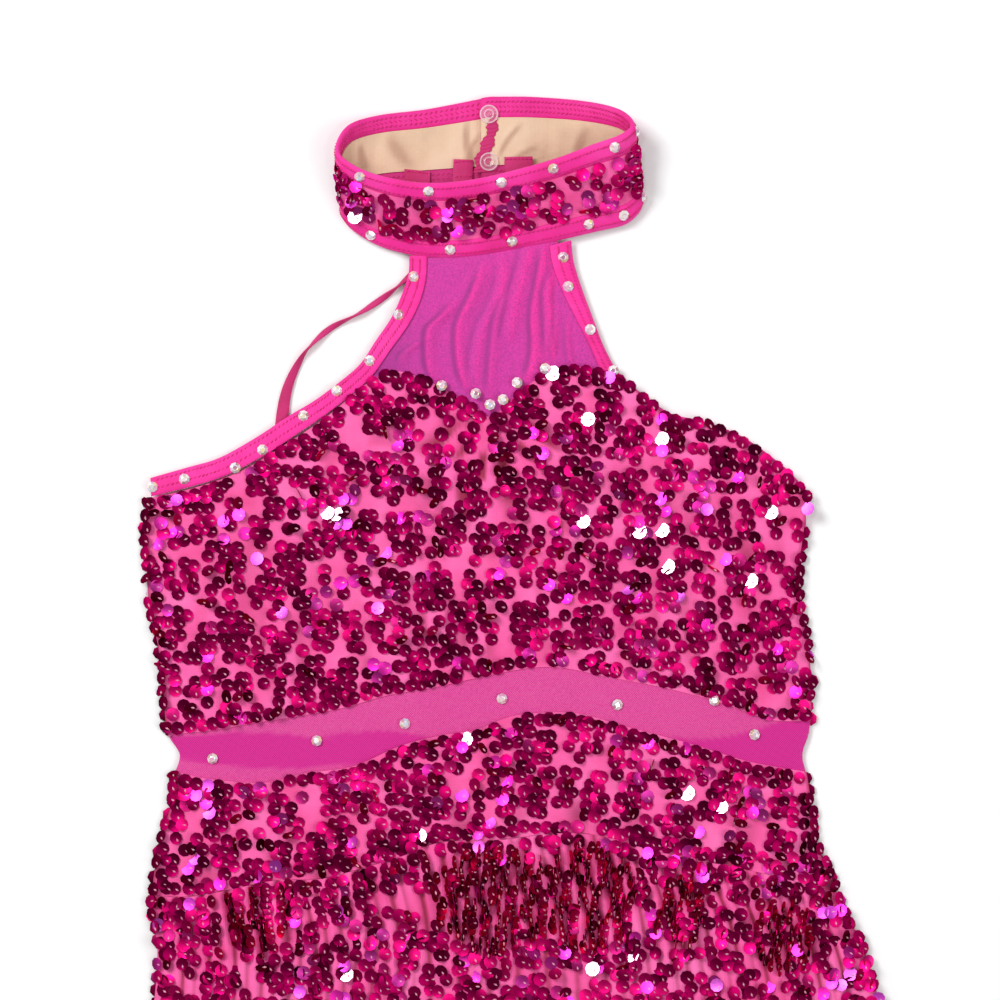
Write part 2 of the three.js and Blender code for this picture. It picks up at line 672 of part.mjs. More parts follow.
// Gathers are evenly spaced at the seam and fade below it, where the flutes open unevenly
function skirtBase(x, y, across, along) {
  const gather = (1 - Math.cos(2 * Math.PI * GATHERS * across)) / 2;
  const uneven = across + 0.018 * Math.sin(2 * Math.PI * 2.3 * across + 1);
  const flute = (1 - Math.cos(2 * Math.PI * FLUTES * uneven)) / 2;
  const side = smooth(across, 0, 0.04) * smooth(1 - across, 0, 0.04);
  const gathers = GATHER_RISE * gather * (1 - 0.75 * smooth(along, 0.1, 0.8));
  const flutes = FLUTE_RISE * flute * smooth(along, 0.05, 0.95);
  return frontBase(x, y) + side * (gathers + flutes);
}
add(
  "skirt_front",
  panel({
    columns: GATHERS * SKIRT_COLUMNS_PER_GATHER,
    rows: SKIRT_ROWS,
    top: (x) => gatherSeamY(x) - SEAM / 2,
    foot: hemY,
    left: sideBetween(leftSide, -105.5, -250),
    right: sideBetween(rightSide, -103.5, -250),
    base: skirtBase,
    thickness: CLOTH,
  }),
  MATERIALS.sequinCloth,
);

// Back panels, flat on the surface

const backTopY = curveOf(BACK_TOP, "x", "y");
const backBodiceFootY = curveOf(BACK_BODICE_FOOT, "x", "y");
const backMidriffFootY = curveOf(BACK_MIDRIFF_FOOT, "x", "y");
const backGatherSeamY = curveOf(BACK_GATHER_SEAM, "x", "y");

function backPanel(name, columns, rows, top, foot, heights, thickness, material) {
  const geometry = panel({
    columns,
    rows,
    top,
    foot,
    left: sideBetween(leftSide, heights.from, heights.to),
    right: sideBetween(rightSide, heights.from, heights.to),
    base: () => 0,
    thickness,
  });
  add(name, geometry, material);
}
backPanel(
  "back_binding",
  20,
  1,
  backTopY,
  (x) => backTopY(x) - BINDING_WIDTH,
  { from: 69.6, to: 61 },
  BINDING,
  MATERIALS.binding,
);
backPanel(
  "bodice_back",
  20,
  4,
  (x) => backTopY(x) - BINDING_WIDTH - SEAM,
  (x) => backBodiceFootY(x) + SEAM / 2,
  { from: 60, to: -33 },
  CLOTH,
  MATERIALS.sequinCloth,
);
backPanel(
  "midriff_back",
  20,
  1,
  (x) => backBodiceFootY(x) - SEAM / 2,
  (x) => backMidriffFootY(x) + SEAM / 2,
  { from: -34, to: -50.4 },
  NET,
  MATERIALS.net,
);
backPanel(
  "hip_yoke_back",
  20,
  2,
  (x) => backMidriffFootY(x) - SEAM / 2,
  (x) => backGatherSeamY(x) + SEAM / 2,
  { from: -50.8, to: -105 },
  CLOTH,
  MATERIALS.sequinCloth,
);
backPanel(
  "skirt_back",
  20,
  5,
  (x) => backGatherSeamY(x) - SEAM / 2,
  hemY,
  { from: -105.4, to: -250 },
  CLOTH,
  MATERIALS.sequinCloth,
);

// Straps

function strap(name, rows) {
  const stations = 30;
  const columns = rows.map((row, i) => ({ ...row, share: i / (rows.length - 1) }));
  const x = curveOf(columns, "share", "x");
  const y = curveOf(columns, "share", "y");
  const z = curveOf(columns, "share", "z");
  const width = curveOf(columns, "share", "width");
  const step = 0.01;
  const face = (extra) => (across, along) => {
    const way = new THREE.Vector2(
      x(across + step) - x(across - step),
      y(across + step) - y(across - step),
    ).normalize();
    const off = width(across) * (0.5 - along);
    const height = Math.max(z(across), 0) + extra;
    return new THREE.Vector3(x(across) - way.y * off, y(across) + way.x * off, height);
  };
  add(name, wall(stations, 1, face(0), face(STRAP)), MATERIALS.binding);
}
strap("strap_left", LEFT_STRAP);
strap("strap_right", RIGHT_STRAP);

export default garment;
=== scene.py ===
"""A child's halter dance dress of sequin cloth and stretch net, laid flat on a pale table, front up.

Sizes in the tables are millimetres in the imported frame: +X to the right and +Y towards the collar as
seen from above, +Z up from the table. They become metres where a mesh is made.
"""
import math

import bmesh
import bpy
import numpy as np
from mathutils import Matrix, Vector


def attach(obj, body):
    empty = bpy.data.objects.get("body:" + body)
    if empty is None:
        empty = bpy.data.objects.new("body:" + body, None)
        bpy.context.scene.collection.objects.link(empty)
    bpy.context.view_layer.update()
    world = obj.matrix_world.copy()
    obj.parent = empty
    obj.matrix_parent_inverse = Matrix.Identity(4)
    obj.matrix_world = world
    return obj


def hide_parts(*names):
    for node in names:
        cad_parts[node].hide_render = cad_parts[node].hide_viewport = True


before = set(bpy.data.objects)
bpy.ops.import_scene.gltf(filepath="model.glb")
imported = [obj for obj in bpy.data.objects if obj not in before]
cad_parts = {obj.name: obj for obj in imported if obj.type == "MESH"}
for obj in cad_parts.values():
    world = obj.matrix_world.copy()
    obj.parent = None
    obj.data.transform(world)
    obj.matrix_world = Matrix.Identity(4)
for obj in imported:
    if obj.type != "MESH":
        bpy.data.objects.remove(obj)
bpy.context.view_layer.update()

MM = 0.001
chance = np.random.default_rng(38)

# The photograph's frame: 450 mm of the table across, seen from straight above
VIEW_X, VIEW_Y = -9.675, 72.45
VIEW_WIDTH = 450
CAMERA_HEIGHT = 1900
CAMERA_SENSOR = 36

# Cloth and how the layers lie
CLOTH = 1.4  # sequin cloth with its sequins
SHELL = 0.5  # the cloth alone
BINDING = 1.3
BINDING_WIDTH = 9
SEAM = 0.3
FRONT_BASE = CLOTH + SEAM
CROWN = 2.8
CROWN_POWER = 2.6
ROLL_RISE = 2.1
TUCK = 0.35  # the nets lie this much lower, and run on below what they are sewn to
NET_UNDER = 2.5
YOKE_UNDER = 4.2
NET_SHELL = 0.3
BACK_SHELL = 0.45
BACK_LIFT = 0.85
CREASE_REACH = 3  # fields of the grid round a point that its crease is measured against

# Collar
BAND_CLOTH = 1.0
BAND_WALL = 2.6
BINDING_SHARE = 0.24
UNDER_LAP = 0.03
OVER_LAP = 0.009
LAP_RISE = BAND_WALL + SEAM
BAND_LENGTH = 306  # once round
BAND_HEIGHT = 38
BAND_START, BAND_END = -UNDER_LAP + 0.004, 1 + OVER_LAP - 0.004  # the turns that are sewn
YOKE_TURNS = (0.31, 0.66)  # the part of the collar above the yoke

# Skirt
GATHERS = 26
GATHER_RISE = 1.5
FLUTES = 8
FLUTE_RISE = 3.2

# Straps
STRAP = 1.2
ON_BAND = BAND_WALL + SEAM
ON_LAP = ON_BAND + LAP_RISE

# Sequins: rows run across the cloth, and each sequin leans on the one before it
SEQUIN_RADIUS = 3.05
SEQUIN_STEP = 4.7
SEQUIN_ROW = 5.1
SKIRT_STEP = 4.4
SKIRT_ROW = 4.85
EDGE_IN = (1.5, 2.9)  # from a seam to the middles of its row of sequins: at the neckline, and elsewhere
EDGE_STEP = 5.2
SIDE_STEP = 5.6
EDGE_CLEAR = 3.2  # what the rows leave free along a seam, for its own row
CLUSTER_PULL = 0.14
CLUSTER_GAP = 0.045
LOST = 0.05  # the share of the sequins that has come off
LEAN_WAY, LEAN_SIDE = (0.06, 0.12), (0.02, 0.12)  # middle and spread of a sequin's two leans
STEEP_SHARE, STEEP = 0.2, 4
GLINT_WAY = -0.29  # the lean that mirrors the window up to the camera
GLINT_SIDE = 0.24
BRIGHT, WHITE = 0.84, 0.98  # shades above which a sequin mirrors the window, or does so in full; their bright colours are partly painted reflection, the near-white ones a painted glint
SEQUIN_THICK = 0.14
SEQUIN_RIM = 1.35
SEQUIN_DISH = 0.24
SEQUIN_SPIN = 0.4

# Stones, stitches and snaps
STONE_RADIUS = 2.5
STONE_TABLE = 1.35
STONE_RISE = 1.1
STONE_GIRDLE = 0.3
STONE_LEAN = 0.07
STONE_LIFT = 0.15
STITCH_LIFT = 0.12
STITCH_SUNK = 0.3
SNAP_RADIUS = 4.2
SNAP_THICK = 0.7
SNAP_STEPS = (  # how far in, how far up, from the rim to the stud
    (0.25, 0.2), (0.3, 0.0), (0.25, -0.5), (1.1, 0.0), (0.2, 0.4), (0.25, 0.0), (0.2, -0.3),
)

DIP_X = -13.7

SIDES = (  # y, left, right
    (190, -50.6, 22.4), (178, -50.7, 23.8), (166, -53.4, 27.9), (156, -57.8, 31.4), (143, -66.4, 36.4),
    (134, -72.2, 40.3), (127, -79.9, 46), (117, -93.4, 58.4), (111, -104.6, 66.8), (100, -119.9, 100.2),
    (93, -132, 110.5), (87, -150, 117.8), (80, -166.6, 125.4), (70, -168.2, 127.9), (55, -169.3, 126.4),
    (40, -168.6, 124.6), (22, -167, 125.6), (8, -163.6, 128.6), (-14, -161, 130.2),
    (-33, -158.8, 129.2), (-42, -153.6, 126.2), (-50, -155.8, 128), (-64, -157.4, 130.2),
    (-80, -162, 132.4), (-95, -165, 138.6), (-110, -166.2, 144), (-130, -163.6, 153.6),
    (-155, -164.8, 160.4), (-185, -169.6, 168), (-215, -176.4, 175.6), (-254, -182, 182),
)
SWEETHEART = (  # x, y
    (-167.6, 73.2), (-148, 77.6), (-126, 85.4), (-108, 96.2), (-88, 109.4), (-68.6, 125.4),
    (-57, 130.2), (-44.5, 127), (-31, 120), (-20, 113.6), (DIP_X, 109.6), (-7.5, 114.6), (1, 122.4),
    (12, 129.8), (24, 132.2), (36, 130.2), (45.8, 126), (58.3, 115.8), (67, 109.8), (82, 106.6),
    (99.6, 99.2), (117, 86.6), (127.4, 76.2),
)
BODICE_FOOT = (  # x, y
    (-160.5, -33.3), (-141, -31.4), (-117, -27.4), (-97, -24.2), (-80, -21), (-60, -15.4), (-40, -12),
    (-20, -7.6), (3, -3.2), (18, -3), (40, -7.4), (66, -12.4), (90, -19), (112, -26.4), (130, -27),
)
MIDRIFF_FOOT = (  # x, y
    (-156, -49.4), (-140, -52.8), (-115, -54.2), (-97, -50), (-76, -47), (-55, -38), (-38, -33.4),
    (-20, -30.4), (-5, -24.6), (12, -22.8), (26, -23.4), (48, -29.4), (75, -36.6), (102, -44.8),
    (128, -49.6),
)
GATHER_SEAM = (  # x, y
    (-165.6, -105.2), (-150, -105.6), (-132, -102.6), (-112, -98.4), (-90, -97.4), (-72, -92.8),
    (-54, -87.4), (-37, -81.2), (-8, -79.8), (16, -77), (34, -78), (60, -85), (88, -90.8), (112, -96),
    (142, -104),
)
HEM = (  # x, y
    (-182, -238), (-130, -246.4), (-60, -252.4), (0, -253.8), (60, -252.6), (130, -247), (182, -240),
)
BACK_TOP = (  # x, y
    (-168, 71), (-120, 75.4), (-60, 79), (-18, 80), (40, 78.6), (90, 74.6), (127.8, 69),
)
BACK_BODICE_FOOT = (  # x, y
    (-159, -34), (-100, -30.6), (-18, -30), (70, -31.6), (129, -33),
)
BACK_MIDRIFF_FOOT = (  # x, y
    (-156, -51), (-18, -49.4), (128.4, -51.4),
)
SEEN_BODICE_FOOT = (  # x, y: the back's seams as they show through the front's net
    (-162, -33.4), (-154, -33.7), (-140, -32.8), (-127, -31.9), (-107, -32.4), (-92, -34.2), (-77, -31.9),
    (-59, -31.1), (-39, -34), (0, -34), (40, -33.8), (66, -34), (82, -34.7), (102, -31.6), (113, -27.8),
    (124.4, -24.7), (132, -22),
)
SEEN_HIP_TOP = (  # x, y
    (-162, -43), (-150, -44.6), (-134, -46.8), (-119, -47.8), (-103, -48.1), (-92, -47.6), (-76, -46.4),
    (-55, -50), (132, -51),
)
BACK_GATHER_SEAM = (  # x, y
    (-165.8, -106), (-18, -102), (142.6, -105),
)
YOKE_SIDES = (  # share, left, right
    (0, -42.1, 12), (0.22, -42.6, 14), (0.45, -47.2, 19), (0.68, -54.8, 25.6), (0.87, -62, 31.6),
    (1, -66.6, 35.6),
)
YOKE_RIDGES = (  # rise, width on the left, width on the right, strength of the painted highlight, then y and x down the ridge
    (1.5, 1.3, 4.2, 0.9,
     (181, -17), (174, -18.6), (164, -22.5), (152, -27.9), (141, -28.8), (131, -27.5), (119, -24)),
    (1.7, 1.3, 4.0, 0.6, (166, -26.6), (156, -34.9), (150, -41.1), (141, -42.2), (132, -41.5), (122, -38)),
    (1.1, 1.2, 3.0, 0.5, (149, -39), (146, -42.6), (141, -49.6), (137.5, -53.5), (130, -54.6)),
    (1.3, 1.1, 3.6, 0.5, (168, -5.6), (162, -7.8), (154, -11.2), (143, -13), (132, -14), (117, -15)),
    (1.5, 1.2, 4.6, 1.1, (190, 11), (185, 10.1), (170, 7.4), (156, 5), (143, 5.4), (135, 4.7), (122, 0.6)),
    (1.3, 2.2, 1.5, 1.0, (182, 16), (175, 15.1), (166, 12.4), (154, 12.8), (143, 13.2), (134, 13.6)),
    (0.8, 1.0, 1.3, 0.5, (162, 17), (158, 16.3), (150, 15.5), (140, 14.6), (132, 14.4)),
    (0.9, 1.0, 1.6, 0.6, (158, 20.4), (155, 20.9), (143, 20.9), (135, 21.7), (128, 22.4)),
    (1.1, 3.0, 3.0, 0.7, (190, 4.4), (185, 3.9), (174, 0.8), (164, -1.6), (154, -3.9), (140, -6)),
    (0.8, 2.6, 2.6, 0.5, (184, -8), (172, -8), (160, -12), (150, -17), (136, -20), (122, -20)),
)
BODICE_FOLDS = (  # x1, y1, x2, y2, rise, width
    (-14, 108, -40, 66, 1.8, 8), (-12, 106, -16, 48, 1.4, 7), (-11, 107, 16, 60, 1.8, 8),
    (-18, 84, -74, 92, 1.3, 7), (-4, 86, 52, 96, 1.4, 8), (-96, 96, -112, -8, 1.2, 9),
    (-64, 40, -58, -12, 1.2, 8), (30, 52, 38, -4, 1.3, 8), (84, 96, 92, -6, 1.4, 10),
)
LEFT_BINDING = (  # outer x, outer y, inner x, inner y
    (-50.5, 182.3, -42.5, 181.9), (-50.9, 174, -43, 172), (-53.8, 165, -45.6, 161.8),
    (-58.6, 154.4, -50.8, 151.2), (-66, 143.4, -58.8, 140), (-72.6, 133.6, -67, 128.4),
    (-82, 125.4, -76.6, 119.6), (-93.4, 117, -88, 110.8), (-105, 110, -100, 102.6),
    (-120, 100.2, -115, 92.8), (-136, 91.4, -132.4, 83.6), (-150, 87.2, -148, 78.6),
    (-166.8, 82.4, -166.4, 74),
)
RIGHT_BINDING = (  # outer x, outer y, inner x, inner y
    (22.4, 189.2, 12.6, 186.4), (23.4, 180, 14, 178.2), (27.2, 167.4, 18.8, 165.4),
    (32, 154.6, 24.6, 153.8), (37, 141.6, 30.6, 142), (44, 129.2, 36.8, 129),
    (54.4, 120.2, 48.4, 114.4), (67.2, 111.4, 63.4, 104), (82.4, 107.8, 79.8, 99.4),
    (100.2, 100.4, 95.8, 92.8), (117.8, 87.6, 112, 81), (128, 77, 121.4, 71.4),
)
LEFT_STRAP = (  # x, y, z, width
    (-26.2, 225.4, ON_BAND, 9), (-26.4, 219, ON_BAND, 9), (-26.8, 212.4, ON_BAND, 8.4),
    (-28.4, 205, 1, 6.4), (-32, 197, 0, 5), (-40, 184, 0, 4), (-52.4, 171.5, 0, 3),
    (-60.2, 164.8, 0, 3), (-72.6, 156.6, 0, 2.8), (-86, 149.6, 0, 2.8), (-95.4, 141.2, 0, 3),
    (-101, 132.8, 0, 3.4), (-105.2, 123, 0, 4.6), (-107.4, 112, 0, 5.6), (-108.8, 95, 0, 6),
    (-109.4, 77, 0, 6),
)
RIGHT_STRAP = (  # x, y, z, width
    (-1.4, 226.4, ON_LAP, 13), (-1.2, 220, ON_LAP, 13), (-0.4, 212, ON_LAP, 12), (2, 203, 1.6, 7),
    (6, 196, 0, 5), (13, 186, 0, 4), (19.6, 173, 0, 3.4), (26, 158, 0, 3), (33, 142, 0, 3),
    (41, 126, 0, 3.4), (52, 106, 0, 4.6), (59, 94, 0, 6), (62.6, 86, 0, 6), (64, 78, 0, 6),
)
COLLAR = (  # turn, head x, head y, head z, foot x, foot y, foot z
    (0, -14.6, 253.6, 1.35, -14.6, 213.3, 1.34), (0.07, -42.5, 248.2, 1.6, -41.2, 212.4, 1.34),
    (0.13, -65, 245, 5, -63, 211.2, 1.34), (0.18, -78, 239.6, 12, -75.6, 208.2, 1.5),
    (0.23, -82.2, 228.6, 18, -80.2, 201.2, 1.9), (0.28, -74.6, 221.4, 20, -75.4, 193.4, 2.6),
    (0.33, -61.9, 216.6, 20, -61.9, 185.8, 3.2), (0.38, -44.8, 213.8, 19.5, -44.8, 181.9, 3.6),
    (0.44, -26.3, 214.6, 19, -26.3, 181.6, 3.8), (0.5, -7.9, 218.2, 19, -7.9, 184.2, 3.8),
    (0.57, 15.1, 224.6, 19.4, 15.1, 188.8, 3.5), (0.63, 32.2, 231, 20, 34.4, 193.2, 2.9),
    (0.68, 43.9, 235.2, 20, 47.2, 196.6, 2.3), (0.73, 49.4, 240.4, 17, 53.6, 203.6, 1.9),
    (0.79, 44.6, 246.8, 11, 48.8, 210.2, 1.4), (0.85, 32, 251, 4.6, 33, 212.8, 1.34),
    (0.92, 10.6, 253.4, 1.6, 10.6, 213.6, 1.34), (1, -14.6, 253.6, 1.35, -14.6, 213.3, 1.34),
)
# More folds of the bodice, which only the dressed model has
FINE_FOLDS = (  # x1, y1, x2, y2, rise, width
    (-22, 106, -44, 84, 1.1, 3.2), (-17, 104, -27, 78, 1.0, 2.6), (-13, 103, -14, 70, 1.1, 2.6),
    (-8, 104, 2, 78, 1.0, 2.8), (-5, 106, 22, 84, 1.1, 3.2), (-34, 86, -30, 60, 1.2, 2.6),
    (-30, 82, -4, 76, 1.3, 2.4), (0, 92, 14, 72, 1.2, 2.4), (10, 90, 18, 64, 0.9, 3),
    (-70, 108, -90, 60, 0.9, 5), (-128, 74, -136, 10, 0.8, 6), (60, 100, 58, 50, 0.8, 5),
    (104, 84, 112, 20, 0.9, 6), (-40, 40, -36, -8, 0.9, 4), (-20, 30, -20, -4, 1.0, 3.4),
    (2, 34, 6, 0, 0.9, 3.6), (64, 40, 70, -8, 0.8, 4.5), (-110, 30, -104, -22, 0.8, 5),
)

# The bare streaks between the sequins, from the top of a panel to its foot
BODICE_STREAKS = (  # x at the top, x at the foot, width, sway
    (-158, -152, 5, 3), (-134, -142, 4, 4), (-118, -114, 5.5, 4), (-96, -104, 4.5, 3), (-80, -86, 5, 5),
    (-62, -66, 4, 4), (-43, -47, 5.5, 4), (-29, -30, 3.5, 3), (-8, -12, 4, 4), (10, 6, 5, 5),
    (26, 24, 4, 3), (44, 40, 5, 4), (60, 64, 4, 4), (78, 76, 5, 5), (97, 94, 4.5, 3), (113, 112, 5, 4),
)
HIP_STREAKS = (
    (-140, -146, 4.5, 2), (-118, -116, 5, 2), (-92, -96, 4, 3), (-70, -72, 5, 2), (-46, -44, 4, 3),
    (-22, -26, 4.5, 2), (4, 0, 4, 2), (30, 28, 5, 3), (56, 60, 4, 2), (84, 82, 5, 2), (106, 112, 4, 3),
)
SKIRT_STREAKS = (
    (-150, -160, 4, 4), (-128, -140, 5, 4), (-108, -116, 4, 5), (-84, -92, 5, 4), (-62, -66, 4, 5),
    (-40, -42, 5, 4), (-16, -14, 4, 5), (10, 12, 5, 4), (34, 40, 4, 5), (60, 68, 5, 4), (86, 96, 4, 4),
    (108, 122, 5, 4), (130, 148, 4, 4),
)

# Where the skirt's gathers hold their sequins in upright stripes
STRIPE_PATCHES = (  # middle x, middle y, half width, half height
    (-120, -110, 15, 26), (-12, -106, 30, 27), (30, -106, 24, 27), (72, -112, 12, 18), (118, -124, 14, 18),
)
STRIPE_STEP = 3.4

# Stones glued on, as x and y on the table
COLLAR_TOP_STONES = (
    (-71.8, 212), (-41.6, 208.4), (-9.2, 212), (13.7, 221), (41.2, 229.5), (50.2, 235.4),
)
COLLAR_BOTTOM_STONES = (
    (-67.3, 190.8), (-32.2, 184.5), (-4.3, 190.8), (29.9, 197.1), (45.7, 201.2), (54.7, 207.5),
)
HALTER_STONES = (
    (-48.4, 172.8), (-55.1, 155.7), (-68.2, 135), (-83, 121.5), (-97.9, 110.3), (18.7, 181.4),
    (20.9, 168.3), (30.8, 149), (41.2, 130.5), (-165.8, 78.3), (-151.4, 81.9), (-128.5, 86.9),
    (-116.3, 95),
)
NECKLINE_STONES = (
    (-35.8, 123.8), (-20.5, 120.2), (-14.2, 115.2), (-8.3, 117.5), (-2, 125.1), (10.6, 131.4),
)
MIDRIFF_STONES = (
    (-138.8, -43.7), (-92, -35.6), (-52.4, -27.9), (-8.8, -16.7), (43, -19.4), (86.6, -17.6),
    (104.6, -32.9),
)

LINING_RIDGES = (  # turn, height, turn, height, rise, width
    (0.028, 0.8, 0.022, 0.24, 0.5, 1.1), (0.012, 0.62, 0.03, 0.2, 0.4, 0.9),
    (0.955, 0.7, 0.99, 0.3, 0.5, 1.0), (0.93, 0.45, 0.975, 0.22, 0.35, 1.2),
    (0.12, 0.75, 0.09, 0.25, 0.4, 2.6), (0.165, 0.7, 0.15, 0.3, 0.5, 2.2),
    (0.86, 0.72, 0.88, 0.26, 0.4, 2.4), (0.8, 0.7, 0.815, 0.3, 0.4, 2.0),
)

# Camera, table and light

bpy.ops.object.select_all(action="DESELECT")
bpy.ops.object.camera_add(location=(VIEW_X * MM, VIEW_Y * MM, CAMERA_HEIGHT * MM), rotation=(0, 0, 0))
camera = bpy.context.object
camera.name = "camera"
camera.data.sensor_width = CAMERA_SENSOR
camera.data.lens = CAMERA_SENSOR * CAMERA_HEIGHT / VIEW_WIDTH
camera.data.clip_end = 20
bpy.context.scene.camera = camera

LIGHTS = (  # name, x, y, z, size, watts
    ("window", -1100, 900, 1500, 800, 27.5),
    ("fill", 1300, -300, 1500, 1100, 12.5),
    ("spark_left", -230, 420, 1700, 120, 2.4),
    ("spark_right", 420, -60, 1700, 120, 2.0),
)
for name, x, y, z, size, watts in LIGHTS:
    bpy.ops.object.light_add(type="AREA", location=(x * MM, y * MM, z * MM))
    lamp = bpy.context.object
    lamp.name = name
    lamp.data.size = size * MM
    lamp.data.energy = watts
    lamp.rotation_euler = Vector((-x, VIEW_Y - y, -z)).to_track_quat("-Z", "Y").to_euler()

world = bpy.data.worlds.new("studio")
bpy.context.scene.world = world
world.use_nodes = True
world.node_tree.nodes["Background"].inputs["Color"].default_value = (1, 1, 1, 1)
world.node_tree.nodes["Background"].inputs["Strength"].default_value = 0.34
bpy.context.scene.view_settings.view_transform = "Standard"


# Finishes

def linear(red, green, blue):
    """A colour as seen on a screen, 0 to 255, as light."""
    shares = [value / 255 for value in (red, green, blue)]
    return tuple(s / 12.92 if s <= 0.04045 else ((s + 0.055) / 1.055) ** 2.4 for s in shares) + (1,)


class Finish:
    """A material with its shader and short calls for the nodes that this dress needs."""

    def __init__(self, name, **values):
        self.material = bpy.data.materials.new(name)
        self.material.use_nodes = True
        self.nodes = self.material.node_tree.nodes
        self.links = self.material.node_tree.links
        self.shader = self.nodes["Principled BSDF"]
        for socket, value in values.items():
            self.shader.inputs[socket.replace("_", " ")].default_value = value

    def node(self, kind, inputs=(), **settings):
        node = self.nodes.new("ShaderNode" + kind)
        for key, value in settings.items():
            setattr(node, key, value)
        for socket, value in dict(inputs).items():
            if isinstance(value, bpy.types.NodeSocket):
                self.links.new(value, node.inputs[socket])
            else:
                node.inputs[socket].default_value = value
        return node

    def place(self):
        return self.node("TexCoord").outputs["Object"]

    def noise(self, scale, detail=2.0, roughness=0.5):
        inputs = {"Vector": self.place(), "Scale": scale, "Detail": detail, "Roughness": roughness}
        return self.node("TexNoise", inputs).outputs["Fac"]

    def wave(self, scale, direction, distortion=0.0, turn=0.0):
        place = self.node("Mapping", {"Vector": self.place(), "Rotation": (0, 0, turn)}).outputs["Vector"]
        inputs = {"Vector": place, "Scale": scale, "Distortion": distortion, "Detail": 1.0}
        return self.node("TexWave", inputs, wave_type="BANDS", bands_direction=direction).outputs["Fac"]

    def math(self, operation, first, second=0.5, third=0.5):
        return self.node("Math", {0: first, 1: second, 2: third}, operation=operation).outputs[0]

    def ramp(self, value, stops):
        """A colour for each value. The stops are (value, red, green, blue), as seen on a screen."""
        node = self.node("ValToRGB", {"Fac": value})
        elements = node.color_ramp.elements
        while len(elements) < len(stops):
            elements.new(1)
        for element, (place, *color) in zip(elements, stops):
            element.position = place
            element.color = linear(*color)
        return node.outputs["Color"]

    def attribute(self, name):
        return self.node("Attribute", attribute_name=name).outputs["Fac"]

    def blend(self, share, first, second):
        node = self.nodes.new("ShaderNodeMix")
        node.data_type = "RGBA"
        for socket, value in (("Factor", share), ("A", first), ("B", second)):
            slots = [s for s in node.inputs if s.name == socket and s.enabled]
            if isinstance(value, bpy.types.NodeSocket):
                self.links.new(value, slots[0])
            else:
                slots[0].default_value = value
        return [s for s in node.outputs if s.enabled][0]

    def color(self, value):
        self.links.new(value, self.shader.inputs["Base Color"])

    def bump(self, height, distance):
        node = self.node("Bump", {"Height": height, "Distance": distance, "Strength": 1.0})
        if self.shader.inputs["Normal"].is_linked:
            before = self.shader.inputs["Normal"].links[0].from_socket
            self.links.new(before, node.inputs["Normal"])
        self.links.new(node.outputs["Normal"], self.shader.inputs["Normal"])


def knit(finish, stitch_mm):
    """Fine columns of knit stitches along the cloth, and a slight unevenness."""
    columns, courses = (finish.wave(1000 / stitch_mm / 3.1416, way, 1.2) for way in "XY")
    finish.bump(finish.math("MULTIPLY", columns, courses), 0.00008)
    finish.bump(finish.noise(160, 3), 0.00025)


def stretch_cloth(name, stitch_mm, dark, middle, light, painted_shade=None):
    finish = Finish(name, Roughness=0.62, Sheen_Weight=0.2, Sheen_Roughness=0.4)
    tone = finish.math("MULTIPLY_ADD", finish.noise(45, 4), 0.9, 0.05)
    face = finish.ramp(tone, ((0.25, *dark), (0.5, *middle), (0.75, *light)))
    # Painted shade: where a piece's attribute asks for it, the cloth darkens towards its colour for creases
    # and shaded faces.
    if painted_shade:
        face = finish.blend(finish.attribute("painted_shade"), face, linear(*painted_shade))
    finish.color(face)
    knit(finish, stitch_mm)
    return finish.material


CLOTHS = (  # name, stitch in millimetres, dark, middle, light, colour of the painted shade in creases and shaded faces
    ("ground_cloth", 0.7, (228, 54, 132), (248, 88, 164), (252, 114, 184), (158, 2, 66)),
    ("binding_cloth", 0.5, (228, 18, 134), (246, 30, 154), (250, 58, 168), (176, 8, 96)),
    ("strap_cloth", 0.5, (160, 6, 80), (192, 14, 100), (216, 40, 126)),
    ("lining_cloth", 0.6, (206, 172, 144), (224, 190, 160), (234, 204, 178), (176, 132, 110)),
    ("inner_cloth", 0.7, (228, 84, 152), (244, 104, 172), (250, 130, 188)),
)
ground_cloth, binding_cloth, strap_cloth, lining_cloth, inner_cloth = (
    stretch_cloth(*cloth) for cloth in CLOTHS
)


def net_cloth(name, flat_color, ridge_highlight_color, deep_color, cover):
    """Fine stretch net: a painted highlight along its folds, and deeper where more net lies below it or where
    painted shade lies on it.
    """
    finish = Finish(name, Roughness=0.7, Sheen_Weight=0.3, Sheen_Roughness=0.45)
    lit_folds, doubled_net_and_shade = finish.attribute("fold_highlight"), finish.attribute("doubled_net_and_shade")
    plain = finish.blend(lit_folds, flat_color, ridge_highlight_color)
    mottle = finish.math("MULTIPLY", finish.noise(38, 5, 0.7), 0.5)
    plain = finish.blend(mottle, plain, ridge_highlight_color)
    grain = finish.math("MULTIPLY_ADD", finish.noise(1250, 1, 0.9), 1.7, -0.62)
    plain = finish.blend(grain, plain, deep_color)
    finish.color(finish.blend(doubled_net_and_shade, plain, deep_color))
    holes = finish.math("MULTIPLY", finish.wave(430, "X", turn=0.7), finish.wave(430, "Y", turn=0.7))
    thread = finish.math("SUBTRACT", 1.0, finish.math("MULTIPLY", holes, 2.2 * (1 - cover)))
    finish.links.new(thread, finish.shader.inputs["Alpha"])
    finish.bump(holes, 0.00008)
    return finish.material


yoke_net = net_cloth(
    "yoke_net", linear(200, 48, 160), linear(250, 40, 162), linear(142, 26, 124), 0.97
)
midriff_net = net_cloth(
    "midriff_net", linear(226, 66, 152), linear(244, 104, 176), linear(218, 18, 146), 0.7
)


